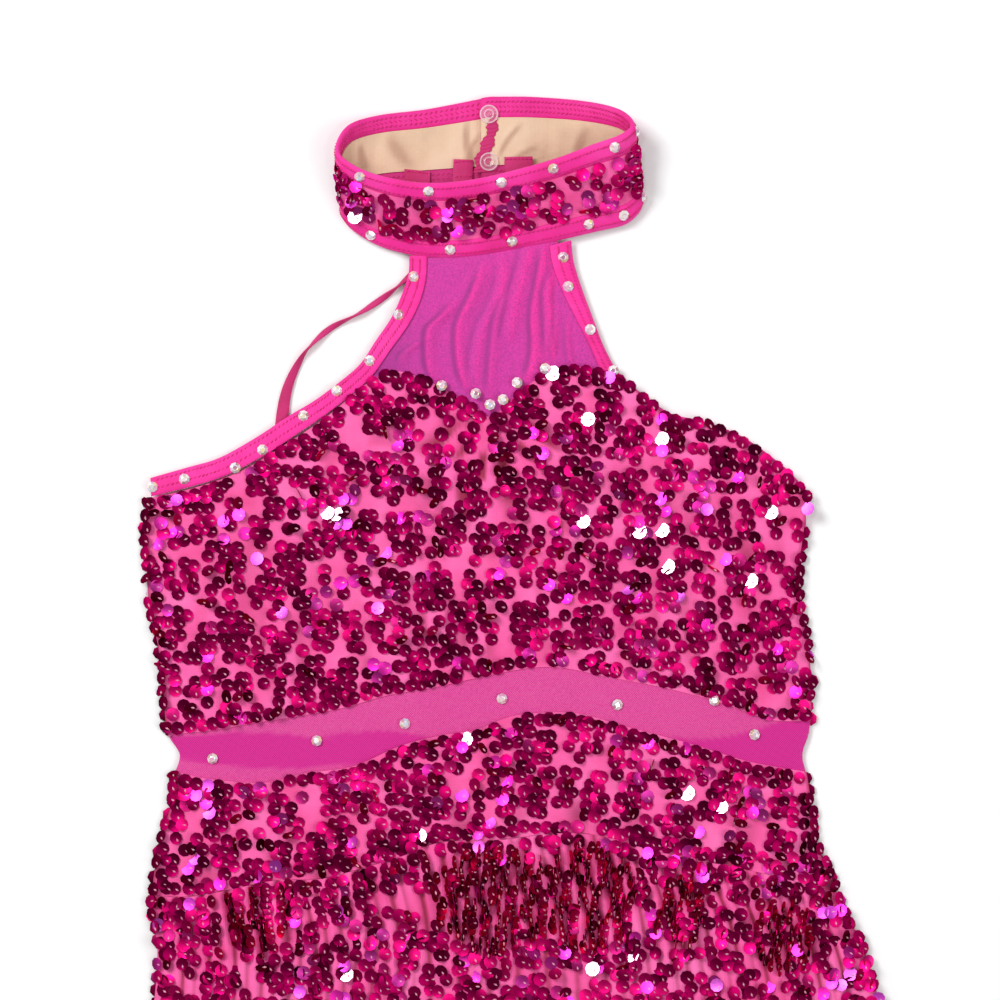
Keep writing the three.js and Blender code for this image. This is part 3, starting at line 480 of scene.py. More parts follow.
def sequin_foil():
    finish = Finish("sequin_foil", Metallic=1.0, Roughness=0.36, Specular_Tint=linear(244, 96, 168))
    # The shades are partly the sequins' own plum, crimson and magenta, partly painted reflection: the darkest
    # stand for sequins that mirror the dark room, the bright and near-white ones for painted glints.
    stops = (
        (0.0, 74, 0, 34), (0.3, 112, 0, 52), (0.5, 166, 5, 82), (0.66, 212, 16, 106), (0.75, 178, 50, 138),
        (0.86, 226, 34, 164), (0.93, 196, 62, 186), (0.97, 212, 98, 204), (0.99, 255, 220, 245),
    )
    hue = finish.ramp(finish.attribute("shade"), stops)
    streak = finish.math("MULTIPLY", finish.noise(500, 2), 0.24)
    finish.color(finish.blend(streak, hue, linear(120, 0, 60)))
    finish.bump(finish.noise(380, 2), 0.00006)
    return finish.material


sequin_material = sequin_foil()


def thread_finish(name, dark, light):
    finish = Finish(name, Roughness=0.5)
    finish.color(finish.ramp(finish.noise(900, 2), ((0.3, *dark), (0.7, *light))))
    finish.bump(finish.wave(900, "DIAGONAL"), 0.00004)
    return finish.material


sequin_thread = thread_finish("sequin_thread", (214, 122, 160), (240, 180, 200))
seam_thread = thread_finish("seam_thread", (190, 8, 98), (222, 26, 122))


def stone_glass():
    finish = Finish("stone_glass", Metallic=0.2, Roughness=0.06)
    # Facet colours: partly the stones' own coated glass, partly painted reflection, the white facets painted
    # highlights.
    stops = (
        (0.0, 255, 255, 255), (0.2, 228, 150, 192), (0.36, 255, 250, 240), (0.52, 206, 212, 232),
        (0.66, 255, 236, 170), (0.8, 180, 120, 156), (0.9, 255, 255, 255),
    )
    finish.color(finish.ramp(finish.attribute("shade"), stops))
    finish.bump(finish.noise(700, 1), 0.00003)
    finish.shader.inputs["Coat Weight"].default_value = 0.6
    return finish.material


def clear_snap(name, cover):
    finish = Finish(name, Roughness=0.1, IOR=1.49, Alpha=cover)
    tone = finish.math("MULTIPLY", finish.noise(320, 3), 0.5)
    finish.color(finish.blend(tone, linear(255, 240, 246), linear(246, 206, 224)))
    finish.bump(finish.noise(500, 2), 0.00005)
    return finish.material


def table_finish():
    finish = Finish("table_top", Roughness=0.8)
    tone = finish.math("MULTIPLY_ADD", finish.noise(9, 3), 2.5, -0.75)
    finish.color(finish.blend(tone, (0.92, 0.92, 0.92, 1), (0.95, 0.95, 0.95, 1)))
    finish.bump(finish.noise(300, 2), 0.00004)
    return finish.material


stone_material = stone_glass()
snap_disc = clear_snap("snap_disc", 0.1)
# A more opaque finish for the snaps' rims: painted highlight on the clear plastic.
snap_rim_highlight = clear_snap("snap_rim_highlight", 0.5)

bpy.ops.mesh.primitive_plane_add(size=6, location=(0, 0, -0.0006))
table = bpy.context.object
table.name = "table_top"
bpy.ops.object.transform_apply(location=True, rotation=True, scale=True)
table.data.materials.append(table_finish())


# Curves and heights

def mix(start, end, share):
    return start + (end - start) * share


def smooth(value, start, end):
    share = np.clip((value - start) / (end - start), 0, 1)
    return share * share * (3 - 2 * share)


def curve_of(rows, place=0, value=1):
    """A smooth curve through a table's rows: one column at any place along another."""
    table_rows = np.array(sorted(rows, key=lambda row: row[place]), float)
    at, height = table_rows[:, place], table_rows[:, value]
    last = len(at) - 1
    before, after = np.maximum(np.arange(last + 1) - 1, 0), np.minimum(np.arange(last + 1) + 1, last)
    slope = (height[after] - height[before]) / (at[after] - at[before])

    def curve(x):
        i = np.clip(np.searchsorted(at, x, side="left") - 1, 0, last - 1)
        span = at[i + 1] - at[i]
        t = np.clip((x - at[i]) / span, 0, 1)
        return (
            (2 * t**3 - 3 * t**2 + 1) * height[i] + (t**3 - 2 * t**2 + t) * span * slope[i]
            + (3 * t**2 - 2 * t**3) * height[i + 1] + (t**3 - t**2) * span * slope[i + 1]
        )

    return curve


left_side = curve_of(SIDES, 0, 1)
right_side = curve_of(SIDES, 0, 2)


def front_base(x, y):
    """How high the front's lower face lies over the table."""
    left, right = left_side(y), right_side(y)
    across = np.minimum(np.abs((2 * x - left - right) / (right - left)), 1)
    return FRONT_BASE + CROWN * np.sqrt(np.maximum(1 - across**CROWN_POWER, 0))


def fold_rise(folds, x, y):
    """How far a table's folds raise the cloth: each is highest halfway along its line."""
    total = 0.0
    for x1, y1, x2, y2, rise, width in folds:
        dx, dy = x2 - x1, y2 - y1
        length = math.hypot(dx, dy)
        along = ((x - x1) * dx + (y - y1) * dy) / length**2
        off = ((x - x1) * dy - (y - y1) * dx) / length / width
        total = total + rise * np.maximum(1 - (2 * along - 1) ** 2, 0) * np.exp(-off * off)
    return total


class Panel:
    """A cloth panel between an upper and a lower seam and two sides, as places for its shares."""

    def __init__(self, top, foot, left, right, base):
        self.top, self.foot, self.left, self.right, self.base = top, foot, left, right, base

    def outline(self, across, along):
        x = mix(self.left(along), self.right(along), across)
        head = self.top(mix(self.left(0), self.right(0), across))
        foot = self.foot(mix(self.left(1), self.right(1), across))
        return x, mix(head, foot, along)

    def at(self, across, along, lift=0.0):
        x, y = self.outline(across, along)
        return np.stack([x, y, self.base(x, y, across, along) + lift], axis=-1)

    def find(self, x, y):
        """The shares across and along of a place on the table."""
        along = np.full(np.shape(x), 0.5)
        for _ in range(6):
            across = (x - self.left(along)) / (self.right(along) - self.left(along))
            head = self.top(mix(self.left(0), self.right(0), np.clip(across, 0, 1)))
            foot = self.foot(mix(self.left(1), self.right(1), np.clip(across, 0, 1)))
            along = (head - y) / (head - foot)
        return across, along

    def frame_at(self, across, along, lift):
        """Places on the cloth with the way across, and the way up from it."""
        step = 0.002
        place = self.at(across, along, lift)
        way = self.at(across + step, along, lift) - self.at(across - step, along, lift)
        down = self.at(across, along + step, lift) - self.at(across, along - step, lift)
        up = np.cross(down, way)
        return place, unit(way), unit(up)


def unit(vectors):
    return vectors / np.linalg.norm(vectors, axis=-1, keepdims=True)


def side_between(side, start, end):
    return lambda along: side(mix(start, end, along))


# Meshes

def new_piece(name, points, faces, material):
    mesh = bpy.data.meshes.new(name)
    mesh.from_pydata((np.asarray(points) * MM).tolist(), [], faces)
    mesh.update()
    piece = bpy.data.objects.new(name, mesh)
    bpy.context.collection.objects.link(piece)
    mesh.materials.append(material)
    return piece


def only(piece):
    bpy.ops.object.select_all(action="DESELECT")
    piece.select_set(True)
    bpy.context.view_layer.objects.active = piece


def finish_piece(piece, nodes=(), smooth_angle=50):
    only(piece)
    bpy.ops.object.shade_smooth_by_angle(angle=math.radians(smooth_angle))
    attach(piece, "root")
    if nodes:
        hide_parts(*nodes)
    piece.select_set(False)
    return piece


def point_values(piece, name, values):
    layer = piece.data.attributes.new(name, "FLOAT", "POINT")
    layer.data.foreach_set("value", np.asarray(values, np.float32))


def cloth_shell(name, columns, rows, face, thickness, material, values):
    """A sheet on a grid of shares, given its thickness upwards."""
    across, along = np.meshgrid(np.linspace(0, 1, columns + 1), np.linspace(0, 1, rows + 1))
    points = face(across.ravel(), along.ravel())
    corner = np.arange((columns + 1) * (rows + 1)).reshape(rows + 1, columns + 1)
    quads = np.stack([corner[:-1, :-1], corner[1:, :-1], corner[1:, 1:], corner[:-1, 1:]], axis=-1)
    piece = new_piece(name, points, quads.reshape(-1, 4).tolist(), material)
    for key, value in values.items():
        point_values(piece, key, value(across.ravel(), along.ravel()) * np.ones(points.shape[0]))
    only(piece)
    wall = piece.modifiers.new("wall", "SOLIDIFY")
    wall.thickness = thickness * MM
    wall.offset = 1
    bpy.ops.object.modifier_apply(modifier=wall.name)
    return piece


def ribbon(name, stations, place, profile, material):
    """A closed strip: a profile carried along a way, with both ends closed."""
    shares = np.linspace(0, 1, stations + 1)
    rings = np.stack([place(shares, a, b) for a, b in profile], axis=1)
    count = len(profile)
    corner = np.arange((stations + 1) * count).reshape(stations + 1, count)
    following = np.roll(corner, -1, axis=1)
    quads = np.stack([corner[:-1], following[:-1], following[1:], corner[1:]], axis=-1)
    faces = quads.reshape(-1, 4).tolist() + [corner[0, ::-1].tolist(), corner[-1].tolist()]
    piece = new_piece(name, rings.reshape(-1, 3), faces, material)
    only(piece)
    bpy.ops.object.mode_set(mode="EDIT")
    bpy.ops.mesh.select_all(action="SELECT")
    bpy.ops.mesh.normals_make_consistent(inside=False)
    bpy.ops.object.mode_set(mode="OBJECT")
    return piece


def rounded(points=14, power=3.2):
    """The section of a folded strip: 0 to 1 across it, 0 to 1 through it."""
    section = []
    for i in range(points):
        angle = 2 * math.pi * (i + 0.5) / points
        c, s = math.cos(angle), math.sin(angle)
        a = math.copysign(abs(c) ** (2 / power), c)
        b = math.copysign(abs(s) ** (2 / 2.2), s)
        section.append((0.5 + a / 2, 0.5 + b / 2))
    return section


def copies(name, model, places, turns, material, shades, sizes=None, materials=()):
    """One mesh of many copies of a small model: each with its place, its turn and its own shade."""
    source = np.array([v.co for v in model.data.vertices]) / MM
    polygons = [list(p.vertices) for p in model.data.polygons]
    kinds = [p.material_index for p in model.data.polygons]
    sizes = np.ones((len(places), 3)) if sizes is None else sizes
    points = np.einsum("nij,nvj->nvi", turns, source * sizes[:, None, :]) + places[:, None, :]
    count = len(source)
    faces = [[v + i * count for v in face] for i in range(len(places)) for face in polygons]
    piece = new_piece(name, points.reshape(-1, 3), faces, material)
    for extra in materials:
        piece.data.materials.append(extra)
    if materials:
        piece.data.polygons.foreach_set("material_index", kinds * len(places))
    point_values(piece, "shade", np.repeat(shades, count))
    return piece


def drop(model):
    mesh = model.data
    bpy.data.objects.remove(model)
    bpy.data.meshes.remove(mesh)


# The small things that repeat, each modelled once at the origin

def select_faces(test):
    mesh = bmesh.from_edit_mesh(bpy.context.object.data)
    bpy.ops.mesh.select_all(action="DESELECT")
    for face in mesh.faces:
        if test(face):
            face.select_set(True)
    bmesh.update_edit_mesh(bpy.context.object.data)


def model_sequin(corners, held=True):
    """A cupped round of facets, and the thread that holds it at its middle."""
    bpy.ops.mesh.primitive_cylinder_add(
        vertices=corners, radius=SEQUIN_RADIUS * MM, depth=SEQUIN_THICK * MM, location=(0, 0, 0)
    )
    sequin = bpy.context.object
    bpy.ops.object.mode_set(mode="EDIT")
    for up, dish in ((1, -SEQUIN_DISH), (-1, SEQUIN_DISH)):
        select_faces(lambda face: face.normal.z * up > 0.9)
        bpy.ops.mesh.inset(thickness=SEQUIN_RIM * MM, depth=dish * MM)
    bpy.ops.object.mode_set(mode="OBJECT")
    sequin.data.materials.append(sequin_material)
    if not held:
        return sequin
    bpy.ops.mesh.primitive_cone_add(
        vertices=4, radius1=0.75 * MM, radius2=0.4 * MM, depth=0.5 * MM, location=(0, 0, 0)
    )
    thread = bpy.context.object
    bpy.ops.object.mode_set(mode="EDIT")
    bpy.ops.mesh.select_all(action="SELECT")
    bpy.ops.transform.resize(value=(1.5, 0.6, 1))
    bpy.ops.transform.rotate(value=0.75, orient_axis="Z", center_override=(0, 0, 0))
    bpy.ops.transform.translate(value=(0.95 * MM, -0.8 * MM, 0.04 * MM))
    bpy.ops.object.mode_set(mode="OBJECT")
    bpy.ops.object.transform_apply(location=True, rotation=True, scale=True)
    thread.data.materials.append(sequin_thread)
    thread.select_set(True)
    sequin.select_set(True)
    bpy.context.view_layer.objects.active = sequin
    bpy.ops.object.join()
    return sequin


def model_stone():
    """A low round stone: a flat table, a ring of facets and a short girdle."""
    bpy.ops.mesh.primitive_cone_add(
        vertices=8, radius1=STONE_RADIUS * MM, radius2=STONE_TABLE * MM, depth=STONE_RISE * MM,
        location=(0, 0, 0.75 * MM),
    )
    stone = bpy.context.object
    bpy.ops.object.transform_apply(location=True, rotation=True, scale=True)
    bpy.ops.object.mode_set(mode="EDIT")
    select_faces(lambda face: face.normal.z < -0.9)
    bpy.ops.mesh.extrude_region_move(TRANSFORM_OT_translate={"value": (0, 0, -STONE_GIRDLE * MM)})
    select_faces(lambda face: face.normal.z > 0.9)
    bpy.ops.mesh.inset(thickness=0.35 * MM, depth=0.15 * MM)
    bpy.ops.object.mode_set(mode="OBJECT")
    return stone


def model_stitch(length, thick):
    """One short stitch of thread, sunk at both ends."""
    bpy.ops.mesh.primitive_cylinder_add(
        vertices=6, radius=thick / 2 * MM, depth=length * MM, location=(0, 0, 0),
        rotation=(0, math.pi / 2, 0),
    )
    stitch = bpy.context.object
    bpy.ops.object.transform_apply(location=True, rotation=True, scale=True)
    bpy.ops.object.mode_set(mode="EDIT")
    for way in (1, -1):
        select_faces(lambda face: face.normal.x * way > 0.9)
        sunk = (way * STITCH_SUNK * MM, 0, -0.2 * MM)
        bpy.ops.mesh.extrude_region_move(TRANSFORM_OT_translate={"value": sunk})
        bpy.ops.transform.resize(value=(1, 0.4, 0.4))
    bpy.ops.object.mode_set(mode="OBJECT")
    return stitch


bpy.ops.object.select_all(action="DESELECT")
sequin = model_sequin(9)
under_sequin = model_sequin(7, held=False)
stone = model_stone()
stitch = model_stitch(1.0, 0.4)


# Sequins on a surface

def turns_of(way, up, lean_way, lean_side, spin):
    """Turns that set a model's Z near the surface's up, leaning along and across its row."""
    side = np.cross(up, way)
    top = unit(up + way * np.tan(lean_way)[:, None] + side * np.tan(lean_side)[:, None])
    first = way * np.cos(spin)[:, None] + side * np.sin(spin)[:, None]
    first = unit(first - top * np.sum(first * top, axis=1, keepdims=True))
    second = np.cross(top, first)
    return np.stack([first, second, top], axis=-1)


def wander(value, seed, reach):
    """A smooth line that wanders by about its reach."""
    fine, slow = np.sin(value / 5.1 + 2.7 * seed), np.sin(value / 27 + 5 * seed)
    return reach * (np.sin(value / 11.3 + seed) + 0.6 * fine + 0.4 * slow) / 1.5


def scatter(column, row, seed):
    """A number from 0 to 1 that belongs to one field of a grid."""
    value = np.sin(column * 127.1 + row * 311.7 + seed * 74.7) * 43758.5453
    return value - np.floor(value)


def sequin_shades(x, y):
    """Shades in loose patches, partly the sequins' own colours and partly painted reflection: mostly dark,
    some crimson, a few bright, the brightest a painted white glint.
    """
    patch = (
        np.sin(x / 15 + 1.3 * np.sin(y / 19)) + np.sin(y / 12 + 1.7 * np.sin(x / 23)) + np.sin((x + y) / 31)
    ) / 3
    lively = np.sin(x / 8.7 + 2.1 * np.sin(y / 14)) * np.sin(y / 9.9 + 1.9 * np.sin(x / 17 + 1)) > 0.5
    shared = scatter(np.floor(x / 9 + np.sin(y / 11)), np.floor(y / 12), 4)
    roll = chance.random(len(x))
    shade = 0.28 * shared + 0.26 * chance.random(len(x))
    shade = np.where(roll < 0.24 + 0.2 * patch, 0.46 + 0.26 * chance.random(len(x)), shade)
    shade = np.where(roll > np.where(lively, 0.74, 0.965), 0.74 + 0.22 * chance.random(len(x)), shade)
    return np.where(roll > np.where(lively, 0.976, 0.9978), 1.0, shade)


def glinting(shades, lean_way, lean_side, way, up):
    """The bright sequins lie so that they mirror the window, however the cloth below them slopes."""
    bright = (shades > BRIGHT) & (up[:, 2] > 0.55)
    stray = chance.normal(0, 0.09, (2, len(shades))) * (shades < WHITE)
    lean_way = np.where(bright, GLINT_WAY + stray[0], lean_way)
    lean_side = np.where(bright, GLINT_SIDE + stray[1], lean_side)
    way = np.where(bright[:, None], (1.0, 0.0, 0.0), way)
    return lean_way, lean_side, way, np.where(bright[:, None], (0.0, 0.0, 1.0), up)


def sequin_sizes(shades):
    """Much the same across; the bright ones are pressed flatter."""
    across = chance.normal(1.0, 0.035, len(shades)) * np.where(shades > WHITE, 1.1, 1)
    deep = np.where(shades > WHITE, 0.22, np.where(shades > 0.82, 0.6, 1.0))
    return np.stack([across, across, deep], axis=-1)


def lay_sequins(name, place, turns, shades, held=True):
    """One piece of many sequins, each held by its thread. Those below a cloth show none."""
    model, threads = (sequin, (sequin_thread,)) if held else (under_sequin, ())
    piece = copies(name, model, place, turns, sequin_material, shades, sequin_sizes(shades), threads)
    return finish_piece(piece, smooth_angle=12)


def gather_up(x, y, wide, tall, pull):
    """Draw sequins together in loose clusters, and say how near each lies to the next cluster."""
    column, row = np.floor(x / wide), np.floor(y / tall)
    near, following = np.full(x.shape, 9.0), np.full(x.shape, 9.0)
    middle_x, middle_y = x, y
    for i in (-1, 0, 1):
        for j in (-1, 0, 1):
            spot_x = (column + i + 0.5 + 0.8 * (scatter(column + i, row + j, 1) - 0.5)) * wide
            spot_y = (row + j + 0.5 + 0.8 * (scatter(column + i, row + j, 2) - 0.5)) * tall
            far = np.hypot((x - spot_x) / wide, (y - spot_y) / tall)
            closer = far < near
            following = np.where(closer, near, np.minimum(following, far))
            near = np.where(closer, far, near)
            middle_x, middle_y = np.where(closer, spot_x, middle_x), np.where(closer, spot_y, middle_y)
    return x + (middle_x - x) * pull, y + (middle_y - y) * pull * 0.7, following - near


def edge_rows(panel, width):
    """A loose row of sequins along the upper and the lower seam, and one down each side."""
    across, along = [], []
    for edge in (0, 1):
        shares = np.arange(0.004, 0.996, EDGE_STEP / width)
        shares = shares + chance.normal(0, 0.12 * EDGE_STEP / width, len(shares))
        shares = shares[chance.random(len(shares)) > 0.06]
        x, top = panel.outline(shares, 0.0)
        wide = np.maximum(smooth(-x, 66, 84), edge == 1) if top.max() > 100 else 1.0
        inset = mix(*EDGE_IN, wide) + chance.normal(0, 0.4, len(shares))
        across.append(shares)
        along.append(np.abs(edge - inset / (top - panel.outline(shares, 1.0)[1])))
    for side in (0.001, 0.999):
        _, top = panel.outline(np.array(side), np.array(0.0))
        _, foot = panel.outline(np.array(side), np.array(1.0))
        shares = np.arange(0.02, 0.98, SIDE_STEP / float(top - foot))
        shares = shares[chance.random(len(shares)) > 0.2]
        across.append(side + chance.normal(0, 0.0012, len(shares)))
        along.append(shares)
    return np.concatenate(across), np.concatenate(along)


def rows_on(panel, streaks, left, right, low, high, slant, cluster, pitch):
    """Rows of sequins over a panel, as shares, leaving its bare streaks free."""
    found = []
    step, row_step = pitch
    count = int((high - low) / row_step) + 1
    for row in range(count):
        x = np.arange(left, right, step) + chance.uniform(0, step)
        x = x + chance.normal(0, 0.6, len(x))
        y = high - row * row_step + slant * x + wander(x, row * 0.13, 1.5) + chance.normal(0, 0.5, len(x))
        found.append(np.stack([x, y], axis=1))
    places = np.concatenate(found)
    drift = 3 * np.sin(places[:, 1] / 13 + places[:, 0] / 40)
    x, y, border = gather_up(places[:, 0] + drift, places[:, 1], *cluster, CLUSTER_PULL)
    x = x - drift
    across, along = panel.find(x, y)
    tall = panel.outline(across, 0.0)[1] - panel.outline(across, 1.0)[1]
    inside = np.minimum(along, 1 - along) * tall
    keep = (inside > EDGE_CLEAR) & (across > 0.006) & (across < 0.994) & (border > CLUSTER_GAP)
    for i, (top_x, foot_x, width, sway) in enumerate(streaks):
        middle = mix(top_x, foot_x, along) + wander(y, 1.7 * i, sway)
        broken = width * (0.1 + 0.55 * np.sin(y / 6.3 + 2.1 * i + 0.9 * np.sin(y / 15)))
        keep &= np.abs(x - middle) > broken / 2
    keep &= chance.random(len(x)) > LOST
    edge_across, edge_along = edge_rows(panel, right - left)
    edge_x, edge_y = panel.outline(edge_across, edge_along)
    return tuple(
        np.concatenate(pair) for pair in (
            (across[keep], edge_across), (along[keep], edge_along), (x[keep], edge_x), (y[keep], edge_y),
        )
    )


def sew_sequins(
    name, panel, lift, streaks, limits, slant=0.0, gather=None, cluster=(15, 24),
    pitch=(SEQUIN_STEP, SEQUIN_ROW), tone=0.0,
):
    """Sequins over a panel: on its upper face, or below it where there is no lift."""
    across, along, x, y = rows_on(panel, streaks, *limits, slant, cluster, pitch)
    shades = sequin_shades(x, y)
    shades = np.where(shades < 0.5, shades + tone, shades)
    count = len(x)
    lean_way, lean_side = chance.normal(*LEAN_WAY, count), chance.normal(*LEAN_SIDE, count)
    steep = np.where(chance.random(count) < STEEP_SHARE, STEEP, 1)
    lean_way, lean_side = lean_way * steep, lean_side * steep
    if gather:
        swing, fade, stripe = gather(across, along, x, y)
        lean_way = lean_way * (1 - fade) + swing * fade
        keep = chance.random(count) > stripe
        across, along, shades = across[keep], along[keep], shades[keep]
        lean_way, lean_side = lean_way[keep], lean_side[keep]
    side = np.where(across < 0.005, -0.5, 0) + np.where(across > 0.995, 0.5, 0)
    lean_way = np.where(side != 0, side, lean_way)
    place, way, up = panel.frame_at(across, along, 0.0)
    slope = np.hypot(up[:, 0], up[:, 1]) * (shades > BRIGHT)
    if not lift:
        up, lean_way, lean_side = -up, lean_way * 0.25, lean_side * 0.25
    rise = 0.42 + SEQUIN_RADIUS * 0.6 * (np.hypot(np.tan(lean_way), np.tan(lean_side)) + slope)
    place = place + up * (lift + np.minimum(rise, 2.2))[:, None]
    lean_way, lean_side, way, up = glinting(shades, lean_way, lean_side, way, up)
    turns = turns_of(way, up, lean_way, lean_side, chance.normal(0, SEQUIN_SPIN, len(across)))
    lowest = place[:, 2] - SEQUIN_RADIUS * np.hypot(turns[:, 2, 0], turns[:, 2, 1])
    place[:, 2] += np.maximum(-lowest, 0)
    return lay_sequins(name, place, turns, shades, held=lift > 0)


def straight_up(count):
    return np.tile([0.0, 0.0, 1.0], (count, 1))


def line_of_stitches(way_place, length, pitch=1.75, slope=0.5):
    """Stitches one after another along a way: way_place(shares) gives places on the cloth and its up."""
    count = int(length / pitch)
    shares = (np.arange(count) + 0.5) / count
    step = 0.5 / count
    place, up = way_place(shares)
    after, _ = way_place(shares + step)
    before, _ = way_place(shares - step)
    way = unit(after - before)
    spin = chance.normal(slope, 0.08, count)
    return place + up * 0.05, turns_of(way, up, np.zeros(count), np.zeros(count), spin)


def sew(name, lines):
    places = np.concatenate([place for place, _ in lines])
    turns = np.concatenate([turn for _, turn in lines])
    piece = copies(name, stitch, places, turns, seam_thread, chance.random(len(places)))
    return finish_piece(piece)


# Panels

sweetheart = curve_of(SWEETHEART)
bodice_foot = curve_of(BODICE_FOOT)
midriff_foot = curve_of(MIDRIFF_FOOT)
gather_seam = curve_of(GATHER_SEAM)
hem = curve_of(HEM)
back_top = curve_of(BACK_TOP)
back_bodice_foot = curve_of(BACK_BODICE_FOOT)
back_midriff_foot = curve_of(BACK_MIDRIFF_FOOT)
back_gather_seam = curve_of(BACK_GATHER_SEAM)

bodice_left = side_between(left_side, 70, -33)
bodice_right = side_between(right_side, 74, -27)
dip_share = float((DIP_X - bodice_left(0.0)) / (bodice_right(0.0) - bodice_left(0.0)))


def off_sides(across, reach):
    """1 on a panel, falling to 0 at its two sides."""
    return smooth(across, 0, reach) * smooth(1 - across, 0, reach)


def bodice_spread(column):
    """The share across for a column of the grid, with the middle column at the neckline's dip."""
    return np.where(column < 0.5, 2 * column * dip_share, mix(dip_share, 1, 2 * column - 1))


def bodice_base(x, y, across, along):
    roll = ROLL_RISE * smooth(across, 0.56, 0.66) * (1 - smooth(along, 0.16, 0.42))
    folds = fold_rise(BODICE_FOLDS, x, y) + off_sides(across, 0.03) * fold_rise(FINE_FOLDS, x, y)
    return front_base(x, y) + folds + roll


def tucked_base(x, y, across, along):
    return front_base(x, y) - TUCK


def hip_base(x, y, across, along):
    ripple = 0.35 * np.sin(x / 4.1 + 1.2 * np.sin(y / 9)) + 0.4 * np.sin(x / 9.7 + 2)
    return front_base(x, y) + off_sides(across, 0.05) * (0.6 + ripple * smooth(along, 0.2, 1))


def fine_gather(across):
    """The turn, in radians, of the small gathers between the large ones."""
    return 2 * math.pi * 2 * GATHERS * across + 3 * np.sin(7 * across)


def skirt_base(x, y, across, along):
    gather = (1 - np.cos(2 * math.pi * GATHERS * across)) / 2
    uneven = across + 0.018 * np.sin(2 * math.pi * 2.3 * across + 1)
    flute = (1 - np.cos(2 * math.pi * FLUTES * uneven)) / 2
    gathers = GATHER_RISE * gather * (1 - 0.75 * smooth(along, 0.1, 0.8))
    fine = 0.5 * (1 - np.cos(fine_gather(across))) * (1 - 0.8 * smooth(along, 0.1, 0.7))
    flutes = FLUTE_RISE * flute * smooth(along, 0.05, 0.95)
    return front_base(x, y) + off_sides(across, 0.04) * (gathers + flutes + fine)


def flat_base(x, y, across, along):
    return np.full(np.shape(x), BACK_LIFT)


front_bodice = Panel(
    sweetheart, lambda x: bodice_foot(x) + SEAM / 2, bodice_left, bodice_right, bodice_base,
)
front_midriff = Panel(
    lambda x: bodice_foot(x) + NET_UNDER, lambda x: midriff_foot(x) - NET_UNDER,
    side_between(left_side, -34, -50), side_between(right_side, -28, -50), tucked_base,
)
front_hip = Panel(
    lambda x: midriff_foot(x) - SEAM / 2, lambda x: gather_seam(x) + SEAM / 8,
    side_between(left_side, -50, -105), side_between(right_side, -50, -103), hip_base,
)
front_skirt = Panel(
    lambda x: gather_seam(x) - SEAM / 8, hem,
    side_between(left_side, -105.5, -250), side_between(right_side, -103.5, -250), skirt_base,
)


def back_panel(top, foot, start, end):
    left, right = (side_between(side, start, end) for side in (left_side, right_side))
    return Panel(top, foot, left, right, flat_base)


back_bodice = back_panel(
    lambda x: back_top(x) - BINDING_WIDTH - SEAM, lambda x: back_bodice_foot(x) + SEAM / 2, 60, -33
)
back_midriff = back_panel(
    lambda x: back_bodice_foot(x) - SEAM / 2, lambda x: back_midriff_foot(x) + SEAM / 2, -34, -50.4
)
back_hip = back_panel(
    lambda x: back_midriff_foot(x) - SEAM / 2, lambda x: back_gather_seam(x) + SEAM / 2, -50.8, -105
)
back_skirt = back_panel(lambda x: back_gather_seam(x) - SEAM / 2, hem, -105.4, -250)


# Collar

collar_edges = {
    edge: [curve_of(COLLAR, 0, column) for column in columns]
    for edge, columns in (("head", (1, 2, 3)), ("foot", (4, 5, 6)))
}


def band_place(turn, height):
    """A place on the band's middle: past one turn the last end lies over the first."""
    at = np.mod(turn + 1, 1)
    rise = LAP_RISE * smooth(turn, 1 - 3 * UNDER_LAP, 1 - 1.3 * UNDER_LAP)
    foot, head = (np.stack([curve(at) for curve in collar_edges[edge]], axis=-1) for edge in ("foot", "head"))
    place = foot + (head - foot) * np.asarray(height)[..., None]
    place[..., 2] += rise
    return place


def band_frame(turn, height):
    """Places on the band's middle, the way round it and the way out of it."""
    step = 0.004
    turn, height = np.broadcast_arrays(np.asarray(turn, float), np.asarray(height, float))
    way = unit(band_place(turn + step, height) - band_place(turn - step, height))
    up = unit(band_place(turn, np.ones(turn.shape)) - band_place(turn, np.zeros(turn.shape)))
    return band_place(turn, height), way, unit(np.cross(way, up))


def band_at(turn, height, out):
    place, _, outward = band_frame(turn, height)
    return place + outward * np.asarray(out)[..., None]


def band_turn(across):
    crowded = across + 0.5 * np.sin(4 * math.pi * across) / (4 * math.pi)
    return mix(-UNDER_LAP, 1 + OVER_LAP, crowded)


def band_shell(name, low, high, inner, thickness, material, ripple, ridges=()):
    def face(across, along):
        turn, height = band_turn(across), mix(high, low, along)
        uneven = np.sin(turn * 230 + 3 * height) * np.sin(turn * 61) * np.sin(math.pi * along)
        return band_at(turn, height, inner + ripple * uneven - band_ridges(ridges, turn, height))

    # Painted shade beside each fold of the cloth on the band.
    def painted_shade(across, along):
        return np.clip(band_ridges(ridges, band_turn(across) + 0.003, mix(high, low, along)) * 2.2, 0, 0.7)

    return cloth_shell(name, 400, 12, face, thickness, material, {"painted_shade": painted_shade})


def band_ridges(ridges, turn, height):
    """Soft folds of a cloth on the band, each along a line from one place to another."""
    total = np.zeros(np.shape(turn))
    for turn1, height1, turn2, height2, rise, width in ridges:
        x, y = turn * BAND_LENGTH, height * BAND_HEIGHT
        x1, y1 = turn1 * BAND_LENGTH, height1 * BAND_HEIGHT
        x2, y2 = turn2 * BAND_LENGTH, height2 * BAND_HEIGHT
        length = math.hypot(x2 - x1, y2 - y1)
        along = ((x - x1) * (x2 - x1) + (y - y1) * (y2 - y1)) / length**2
        off = ((x - x1) * (y2 - y1) - (y - y1) * (x2 - x1)) / length + 1.2 * np.sin(3 * along)
        total = total + rise * np.maximum(1 - (2 * along - 1) ** 2, 0) * np.exp(-((off / width) ** 2))
    return total


